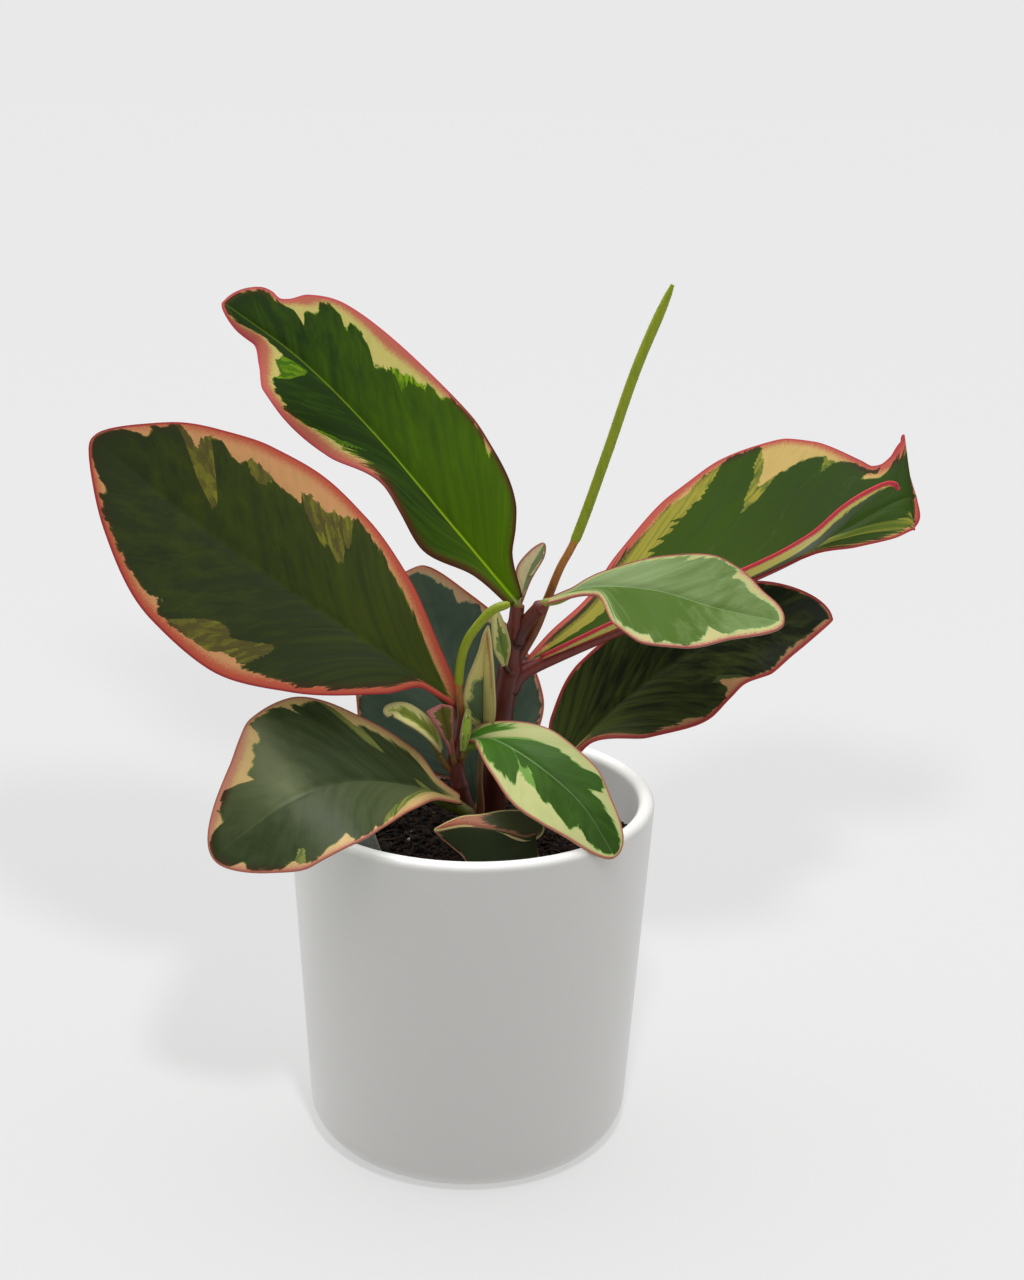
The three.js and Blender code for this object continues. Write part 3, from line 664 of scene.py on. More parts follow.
def green_middle(tree, paint, at, lobe_noise, tone_and_painted_light):
    """Green with its side veins and midrib as thin lines, and the way from each vein to the next."""
    # The green is lighter where the blade's tone and its painted light are high.
    green = add_node(
        tree, "ShaderNodeMix", COLOURS,
        {0: tone_and_painted_light, 6: hex_colour(paint["green"]), 7: hex_colour(paint["light_green"])},
    )
    count = add_node(tree, "ShaderNodeMath", MULTIPLY, {0: at, 1: float(paint["veins"])})
    wobble = add_node(
        tree, "ShaderNodeMath", {"operation": "MULTIPLY_ADD"}, {0: lobe_noise, 1: 0.7, 2: count},
    )
    saw = add_node(tree, "ShaderNodeMath", {"operation": "PINGPONG"}, {0: wobble, 1: 0.5})
    vein_line = add_node(
        tree, "ShaderNodeMapRange", SMOOTH, {0: saw, 1: 0.03, 2: 0.0, 3: 0.0, 4: paint["vein_share"]},
    )
    veined = add_node(
        tree, "ShaderNodeMix", COLOURS, {0: vein_line, 6: green.outputs[2], 7: hex_colour(paint["vein"])},
    )
    off_middle = add_node(tree, "ShaderNodeMath", {"operation": "ABSOLUTE"}, {0: at.outputs[1]})
    rib_width = add_node(
        tree, "ShaderNodeMapRange",
        inputs={0: at, 1: 0.36, 2: 0.75, 3: 3.2 * paint["midrib_width"], 4: 1.2 * paint["midrib_width"]},
    )
    rib_line = add_node(
        tree, "ShaderNodeMapRange", SMOOTH,
        {0: off_middle, 1: rib_width, 2: 0.1 * paint["midrib_width"], 3: 0.0, 4: 1.0},
    )
    rib_fade = add_node(
        tree, "ShaderNodeMapRange",
        inputs={0: at, 1: 0.4, 2: 1.0, 3: paint["midrib_share"], 4: 0.25 * paint["midrib_share"]},
    )
    rib_share = add_node(tree, "ShaderNodeMath", MULTIPLY, {0: rib_line, 1: rib_fade})
    ribbed = add_node(
        tree, "ShaderNodeMix", COLOURS, {0: rib_share, 6: veined.outputs[2], 7: hex_colour(paint["midrib"])},
    )
    return ribbed, saw


def pale_zones(tree, paint, ribbed, cream_share, haze_share, tone_and_painted_light, cell, clouds):
    """Half green and cream over the green. The half green changes from cell to cell, and the cream is
    faintly stained."""
    spread = add_node(tree, "ShaderNodeMapRange", inputs={0: cell.outputs[1], 3: -0.45, 4: 0.45})
    # The half green is also lighter where the blade's tone and its painted light are high.
    haze_light = add_node(
        tree, "ShaderNodeMath", {"operation": "ADD", "use_clamp": True}, {0: tone_and_painted_light, 1: spread},
    )
    haze = add_node(
        tree, "ShaderNodeMix", COLOURS,
        {0: haze_light, 6: hex_colour(paint["haze"]), 7: hex_colour(paint["light_haze"])},
    )
    hazed = add_node(
        tree, "ShaderNodeMix", COLOURS, {0: haze_share, 6: ribbed.outputs[2], 7: haze.outputs[2]},
    )
    stain = add_node(tree, "ShaderNodeMapRange", inputs={0: clouds, 1: 0.45, 2: 0.8, 3: 0.0, 4: 0.25})
    cream = add_node(
        tree, "ShaderNodeMix", COLOURS, {0: stain, 6: hex_colour(paint["cream"]), 7: haze.outputs[2]},
    )
    creamed = add_node(
        tree, "ShaderNodeMix", COLOURS, {0: cream_share, 6: hazed.outputs[2], 7: cream.outputs[2]},
    )
    return creamed


def blush_and_edge(tree, paint, creamed, cream_share, depth, at, grain):
    """Blush and thin margin over the rest: red over cream and bronze over green, grained by single
    cells some 0.3 mm across."""
    speckle = add_node(tree, "ShaderNodeMapRange", inputs={0: grain, 1: 0.3, 2: 0.7, 3: -0.8, 4: 0.8})
    blush_depth = add_node(tree, "ShaderNodeMath", ADD, {0: depth.outputs[2], 1: speckle})
    blush_share = add_node(
        tree, "ShaderNodeMapRange", SMOOTH,
        {0: blush_depth, 1: -paint["blush_soft"] / 2, 2: paint["blush_soft"] / 2},
    )
    rim = add_node(
        tree, "ShaderNodeMix", COLOURS,
        {0: cream_share, 6: hex_colour(paint["bronze"]), 7: hex_colour(paint["blush"])},
    )
    blushed = add_node(
        tree, "ShaderNodeMix", COLOURS, {0: blush_share, 6: creamed.outputs[2], 7: rim.outputs[2]},
    )
    edge_share = add_node(
        tree, "ShaderNodeMapRange", SMOOTH,
        {0: at.outputs[2], 1: paint["edge_width"] * 1.5, 2: paint["edge_width"] * 0.4},
    )
    reddening = add_node(
        tree, "ShaderNodeMapRange", SMOOTH,
        {0: at, 1: paint["edge_start"] - 0.12, 2: paint["edge_start"] + 0.12},
    )
    edge = add_node(
        tree, "ShaderNodeMix", COLOURS,
        {0: reddening, 6: hex_colour(paint["bronze"]), 7: hex_colour(paint["edge"])},
    )
    edged = add_node(
        tree, "ShaderNodeMix", COLOURS, {0: edge_share, 6: blushed.outputs[2], 7: edge.outputs[2]},
    )
    return edged


def blade_material(name, paint, under=False):
    """Waxy, fleshy leaf skin: satin, with a soft light on its curves. The attribute zones holds how
    many millimetres a point lies inside the cream zone, the half-green patches and the blush, and
    place holds where it lies along the veins, across the midrib and in from the margin. The attribute
    glow says how light the green is. It is partly the blade's own tone and partly painted light: painted
    sheen, and painted light shining through the blade."""
    material, tree = new_material(name)
    zones = add_node(tree, "ShaderNodeAttribute", {"attribute_name": "zones"})
    depth = add_node(tree, "ShaderNodeSeparateXYZ", inputs={0: zones.outputs["Vector"]})
    place = add_node(tree, "ShaderNodeAttribute", {"attribute_name": "place"})
    at = add_node(tree, "ShaderNodeSeparateXYZ", inputs={0: place.outputs["Vector"]})
    glow = add_node(tree, "ShaderNodeAttribute", {"attribute_name": "glow"})
    lobe_noise, cell, clouds, grain = blade_noises(tree)
    cream_share, haze_share = ragged_zones(tree, paint, depth, lobe_noise, cell)
    mottle = add_node(
        tree, "ShaderNodeMapRange",
        inputs={0: clouds, 1: 0.3, 2: 0.75, 3: -0.5 * paint["mottle"], 4: 0.5 * paint["mottle"]},
    )
    # How light the green is: glow, which is the blade's own tone plus painted sheen and painted light through
    # the blade, with the mottle over it.
    tone_and_painted_light = add_node(
        tree, "ShaderNodeMath", {"operation": "ADD", "use_clamp": True}, {0: glow.outputs["Fac"], 1: mottle},
    )
    ribbed, saw = green_middle(tree, paint, at, lobe_noise, tone_and_painted_light)
    creamed = pale_zones(tree, paint, ribbed, cream_share, haze_share, tone_and_painted_light, cell, clouds)
    last = blush_and_edge(tree, paint, creamed, cream_share, depth, at, grain)
    if under:
        last = add_node(
            tree, "ShaderNodeMix", COLOURS,
            {0: paint["under_share"], 6: last.outputs[2], 7: hex_colour(paint["under"])},
        )

    crease = add_node(tree, "ShaderNodeMapRange", inputs={0: saw, 1: 0.0, 2: 0.12})
    height = add_node(tree, "ShaderNodeMath", {"operation": "MULTIPLY_ADD"}, {0: grain, 1: 0.6, 2: crease})
    bump = add_node(tree, "ShaderNodeBump", inputs={"Strength": 0.3, "Distance": 0.00008, "Height": height})
    rough = add_node(
        tree, "ShaderNodeMapRange",
        inputs={0: clouds, 1: 0.3, 2: 0.7, 3: paint["roughness"] - 0.04, 4: paint["roughness"] + 0.06},
    )
    shader = add_node(
        tree, "ShaderNodeBsdfPrincipled",
        inputs={"Base Color": last.outputs[2], "Roughness": rough, "IOR": 1.45,
                "Specular IOR Level": paint["shine"], "Normal": bump},
    )
    finish_material(tree, shader)
    return material


# Pot, soil and label


def arc(centre_r, centre_z, radius, start, end, steps):
    """Points (r, z) of an arc, with its angles in degrees."""
    angles = np.radians(np.linspace(start, end, steps + 1))
    return [(centre_r + radius * math.cos(a), centre_z + radius * math.sin(a)) for a in angles]


def pot_sizes():
    """The pot's settings, its height and wall in millimetres, and its outer and inner radius at a height."""
    settings = bpy.context.scene.peperomia_pot
    height = settings.height / MM
    slope = (settings.rim_radius - settings.base_radius) / settings.height
    base = settings.base_radius / MM
    wall = settings.wall / MM

    def outer(z):
        return base + slope * z

    def inner(z):
        return outer(z) - wall

    return settings, height, wall, outer, inner


def cavity_corner(inset, steps):
    """Rounded corner between the wall and the floor inside the pot, drawn in by inset."""
    settings, _, wall, _, inner = pot_sizes()
    rounding = settings.foot_rounding / MM - wall
    floor = settings.floor / MM + inset
    centre = inner(floor + rounding) - inset - rounding
    return arc(centre, floor + rounding, rounding, 0, -90, steps)


def profile_object(name, profile):
    mesh = bpy.data.meshes.new(name)
    points = [(r * MM, 0.0, z * MM) for r, z in profile]
    mesh.from_pydata(points, [(i, i + 1) for i in range(len(points) - 1)], [])
    return add_object(name, mesh)


class PEPEROMIA_OT_pot(bpy.types.Operator):
    """Turn the cover pot: a straight tapered cup with a rounded foot and a full round lip"""

    bl_idname = "peperomia.pot"
    bl_label = "Cover pot"

    def execute(self, context):
        settings, height, wall, outer, _ = pot_sizes()
        rounding = settings.foot_rounding / MM
        foot = arc(outer(rounding) - rounding, rounding, rounding, -90, 0, 24)
        lip = arc(settings.rim_radius / MM - wall / 2, height - wall / 2, wall / 2, 0, 180, 32)
        profile = [(0, 0), *foot, *lip, *cavity_corner(0, 16), (0, settings.floor / MM)]
        pot = run_nodes(
            profile_object("pot_profile", profile), turned_tree(),
            {"Sides": 193, "Rows": 420, "Material": glaze_material(settings)}, "cover_pot",
        )
        point_outwards(pot.data)
        stand_in(pot, "pot")
        return {"FINISHED"}


def soil_height(x, y):
    """Rise of the soil in millimetres: the solid's two slow waves, and lumps 3 to 12 mm wide."""
    waves = math.sin(0.31 * x + 0.8) * math.cos(0.27 * y - 0.4) + 0.5 * math.sin(0.63 * x - 0.47 * y)
    lumps = noise.fractal(Vector((x * 0.16, y * 0.16, 3.7)), 0.6, 2.1, 4)
    return 0.9 * waves + 1.1 * lumps


def lump_object(name, stretch, roughness, seed):
    """A small rough shape with a radius of one unit, to be scattered at the size of a grain."""
    work = bmesh.new()
    bmesh.ops.create_icosphere(work, subdivisions=1, radius=1.0)
    for vertex in work.verts:
        shift = noise.noise(vertex.co * 1.3 + Vector((seed, 0, 0)))
        vertex.co *= 1 + roughness * shift
        vertex.co.x *= stretch[0]
        vertex.co.y *= stretch[1]
        vertex.co.z *= stretch[2]
    mesh = bpy.data.meshes.new(name)
    work.to_mesh(mesh)
    work.free()
    return add_object(name, mesh)


def fibre_object(name):
    """A thin bent splinter, one unit long."""
    points = [[-0.5, 0, 0], [-0.2, 0.06, 0.03], [0.1, -0.02, 0.05], [0.5, 0.08, 0]]
    vertices, faces, _ = tube(points, [[0, 0.02], [0.3, 0.05], [0.8, 0.04], [1, 0.01]], 5, 4, 0.6)
    return make_object(name, vertices / MM, faces, [])


class PEPEROMIA_OT_soil(bpy.types.Operator):
    """Fill the pot with damp potting soil: peat crumbs, bark fibres and a few grains of perlite"""

    bl_idname = "peperomia.soil"
    bl_label = "Potting soil"

    def execute(self, context):
        settings = context.scene.peperomia_soil
        level = settings.level / MM
        gap = settings.gap / MM
        _, _, _, _, inner = pot_sizes()
        edge = inner(level) - gap
        corner = cavity_corner(gap, 8)
        profile = [(0, corner[-1][1]), *reversed(corner), (edge, level), (0, level)]
        peat = grain_material("damp_peat", settings.dark, settings.light, 420.0, 0.85)
        bed = run_nodes(
            profile_object("soil_profile", profile), turned_tree(),
            {"Sides": 161, "Rows": 260, "Material": peat}, "soil_bed",
        )

        # The lumps on top die away over the last 3 mm before the wall
        for vertex in bed.data.vertices:
            x, y, z = (value / MM for value in vertex.co)
            inside = edge - math.hypot(x, y)
            if z > level - 0.05 and inside > 0:
                vertex.co.z += soil_height(x, y) * min(1.0, inside / 3) * MM
        bed.data.update()
        point_outwards(bed.data)

        shapes = {
            "crumb": lump_object("crumb_shape", (1.0, 0.8, 0.6), 0.9, 4.0),
            "perlite": lump_object("perlite_shape", (1.0, 0.9, 0.8), 0.5, 11.0),
            "fibre": fibre_object("fibre_shape"),
        }
        bark = grain_material("bark_fibre", hex_colour("#2a1a12"), hex_colour("#6b4c36"), 900.0, 0.8)
        perlite = grain_material("perlite", hex_colour("#b9b4aa"), hex_colour("#e6e3da"), 1500.0, 0.9)
        scatter = scatter_tree()
        per_cm2 = 10000.0
        rows = [
            ("soil_crumbs", "crumb", settings.crumbs_per_cm2, 0.25 * settings.crumb, settings.crumb, 0.7,
             3, peat),
            ("soil_fibres", "fibre", settings.fibres_per_cm2, 2.5 * MM, 9 * MM, 0.25, 8, bark),
            ("perlite_grains", "perlite", settings.perlite_per_cm2, 0.35 * MM, 0.9 * MM, 0.8, 21, perlite),
        ]
        for name, shape, number, smallest, largest, tilt, seed, material in rows:
            base = add_object(name + "_base", bed.data.copy())
            grains = run_nodes(
                base, scatter,
                {"Shape": shapes[shape], "Per square metre": number * per_cm2, "Smallest": smallest,
                 "Largest": largest, "Tilt": tilt, "Steepest": 0.6, "Seed": seed, "Material": material},
                name,
            )
            stand_in(grains, None)
        for shape in shapes.values():
            bpy.data.objects.remove(shape)
        stand_in(bed, "soil")
        return {"FINISHED"}


# The label ends below in a point, and is turned about its top, in degrees.
LABEL = {
    "width": 12.0, "thickness": 1.0, "length": 44.0, "point": 12.0, "corner": 3.0, "bevel": 0.25,
    "top": (-36.5, -25.5, 113.0), "lean": -17.0, "tilt": 98.0,
}


class PEPEROMIA_OT_label(bpy.types.Operator):
    """Stick the blank plastic label into the soil"""

    bl_idname = "peperomia.label"
    bl_label = "Blank label"

    def execute(self, context):
        half = LABEL["width"] / 2
        corner = LABEL["corner"]
        shoulder = LABEL["point"] - LABEL["length"]
        outline = [(0, -LABEL["length"]), (half, shoulder)]
        outline += arc(half - corner, -corner, corner, 0, 90, 8)
        outline += arc(corner - half, -corner, corner, 90, 180, 8)
        outline.append((-half, shoulder))
        count = len(outline)
        thick = LABEL["thickness"] / 2
        vertices = [(x, y, -thick) for x, y in outline] + [(x, y, thick) for x, y in outline]
        faces = [tuple(reversed(range(count))), tuple(range(count, 2 * count))]
        faces += [(i, (i + 1) % count, (i + 1) % count + count, i + count) for i in range(count)]
        label = make_object("blank_label", vertices, faces, [plastic_material()])
        lean = Matrix.Rotation(math.radians(LABEL["lean"]), 4, "Y")
        tilt = Matrix.Rotation(math.radians(LABEL["tilt"]), 4, "X")
        label.data.transform(Matrix.Translation(Vector(LABEL["top"]) * MM) @ (lean @ tilt))
        work = bmesh.new()
        work.from_mesh(label.data)
        rim = [e for e in work.edges if e.calc_face_angle(0) > 1.2]
        bevel = LABEL["bevel"] * MM
        bmesh.ops.bevel(work, geom=rim, offset=bevel, segments=3, profile=0.5, affect="EDGES")
        work.to_mesh(label.data)
        work.free()
        point_outwards(label.data)
        label.data.polygons.foreach_set("use_smooth", [False] * len(label.data.polygons))
        stand_in(label, "plant_label")
        return {"FINISHED"}


# Stems and flower spikes

# Height, inside the soil, at which both stems begin
STEM_FOOT = 72

# Lines of the stems, with their girth by stations. rings are the swollen leaf joints: t, height, width.
STEMS = {
    "stem_trunk": [
        {
            "points": [[5.5, 5.5, STEM_FOOT], [5.4, 5, 93], [6.2, 4.5, 112], [8, 3.5, 131],
                       [11, 2.2, 149], [12.5, 1, 166.5]],
            "girth": [[0, 4.5], [0.4, 4.3], [0.62, 3.7], [0.75, 3.4], [0.79, 3.1], [0.84, 2.4], [1, 2.1]],
            "rings": [[0.46, 0.25, 0.012], [0.6, 0.35, 0.014], [0.775, 0.5, 0.014], [0.93, 0.35, 0.012]],
        },
        {
            "points": [[11.9, 2, 154], [14.5, 1, 160], [18, -0.8, 165.3], [20.6, -1.9, 168.2]],
            "girth": [[0, 2.5], [0.5, 2.2], [0.85, 2.1], [1, 1.2]],
            "rings": [[0.1, 0.3, 0.04], [0.8, 0.3, 0.05]],
        },
    ],
    "stem_side": [
        {
            "points": [[0.3, -5, STEM_FOOT], [-0.3, -6.5, 93], [-2, -8, 107], [-4.6, -9, 120],
                       [-3.5, -9.4, 130], [-3, -10, 136]],
            "girth": [[0, 2.8], [0.3, 2.7], [0.6, 2.3], [0.68, 2.5], [0.8, 1.7], [1, 1.4]],
            "rings": [[0.5, 0.25, 0.014], [0.66, 0.35, 0.016]],
        },
        {
            "points": [[-2.8, -9.4, 129], [-1.6, -10.4, 134], [-1, -10.8, 138.5]],
            "girth": [[0, 1], [0.5, 0.9], [1, 0.4]],
            "rings": [],
        },
    ],
}

# At join the thin stalk ends and the spike begins.
SPIKES = {
    "flower_spike_tall": {
        "points": [[12, 2.6, 148], [17.7, 4, 158], [21.2, 2.6, 168], [24.5, -1.5, 178.5], [29.3, -5, 190],
                   [36.6, -8, 213.8], [43.8, -11, 238.5], [52.4, -13, 261.3]],
        "girth": [[0, 1.6], [0.2, 1.4], [0.545, 1.15], [0.56, 1.45], [0.93, 1.4], [0.98, 1], [1, 0.5]],
        "join": 0.552,
    },
    "flower_spike_short": {
        "points": [[-3, -10, 134], [-3.6, -11, 140], [-4, -11.8, 146.4], [-3.4, -12.8, 153.8],
                   [-1.5, -13.8, 160.2], [1.6, -14.2, 165.1], [5.5, -14.2, 169.4], [10.3, -13.6, 171.1]],
        "girth": [[0, 1.1], [0.26, 1], [0.3, 1.3], [0.93, 1.3], [0.98, 1.05], [1, 0.6]],
        "join": 0.286,
    },
}


def path_object(name, points, girth, rings, steps, start=0.0, end=1.0):
    """Line along a stem, with its girth and its height share, for the tube tree."""
    t = np.linspace(start, end, steps + 1)
    centre = curve_through(points, t)
    size = along(girth, t)
    for middle, rise, width in rings:
        size = size + rise * np.exp(-(((t - middle) / width) ** 2))
    mesh = bpy.data.meshes.new(name)
    mesh.from_pydata((centre * MM).tolist(), [(i, i + 1) for i in range(steps)], [])
    set_attribute(mesh, "girth", size * MM)
    set_attribute(mesh, "up", (t - start) / (end - start))
    return add_object(name, mesh)


def joined(name, objects):
    """One object with the meshes of several, at the origin."""
    for made in objects:
        made.select_set(True)
    with bpy.context.temp_override(active_object=objects[0], selected_editable_objects=objects):
        bpy.ops.object.join()
    objects[0].name = name
    return objects[0]


class PEPEROMIA_OT_stems(bpy.types.Operator):
    """Grow the trunk and the side stem, with a ring at each leaf joint"""

    bl_idname = "peperomia.stems"
    bl_label = "Stems"

    def execute(self, context):
        settings = context.scene.peperomia_stem
        tree = tube_tree()
        # Each stem piece runs from bark at its foot to young at its top. The dark foot is older skin and also
        # painted shade low in the plant.
        material = stem_material("red_stem_skin", settings.bark, settings.young, hex_colour("#2e1412"), 0.4)
        for node, parts in STEMS.items():
            pieces = []
            for number, part in enumerate(parts):
                line = path_object("line", part["points"], part["girth"], part["rings"], 150)
                values = {"Sides": 28, "Material": material}
                pieces.append(run_nodes(line, tree, values, f"{node}_{number}"))
            stem = joined(node + "_skin", pieces)
            point_outwards(stem.data)
            stand_in(stem, node)
        return {"FINISHED"}


class PEPEROMIA_OT_spikes(bpy.types.Operator):
    """Grow the two flower spikes: a thin red stalk and a fleshy green spike set with tiny flowers"""

    bl_idname = "peperomia.spikes"
    bl_label = "Flower spikes"

    def execute(self, context):
        settings = context.scene.peperomia_spike
        tree = tube_tree()
        scatter = scatter_tree()
        green = stem_material("green_spike_skin", settings.green, settings.green, hex_colour("#5f7d14"), 0.5)
        stalk = stem_material(
            "spike_stalk_skin", hex_colour("#5c1d18"), settings.stalk, hex_colour("#3f1411"), 0.4,
        )
        floret = lump_object("floret_shape", (1.0, 1.0, 0.45), 0.15, 2.0)
        for node, spike in SPIKES.items():
            low = path_object("low", spike["points"], spike["girth"], [], 60, 0.0, spike["join"])
            low = run_nodes(low, tree, {"Sides": 20, "Material": stalk}, node + "_stalk")
            point_outwards(low.data)
            high = path_object("high", spike["points"], spike["girth"], [], 160, spike["join"], 1.0)
            high = run_nodes(high, tree, {"Sides": 24, "Material": green}, node + "_rod")
            point_outwards(high.data)
            base = add_object("floret_base", high.data.copy())
            florets = run_nodes(
                base, scatter,
                {"Shape": floret, "Per square metre": 1.6e6, "Smallest": 0.6 * settings.floret,
                 "Largest": settings.floret, "Tilt": 0.2, "Steepest": -2.0, "Seed": 5, "Material": green},
                "florets",
            )
            whole = joined(node + "_skin", [low, high, florets])
            stand_in(whole, node)
        bpy.data.objects.remove(floret)
        return {"FINISHED"}


# Leaves

# How most blades fold up along the midrib: [t, left, right], in degrees.
FOLD = [[0, 20, 20], [0.5, 12, 12], [1, 8, 8]]

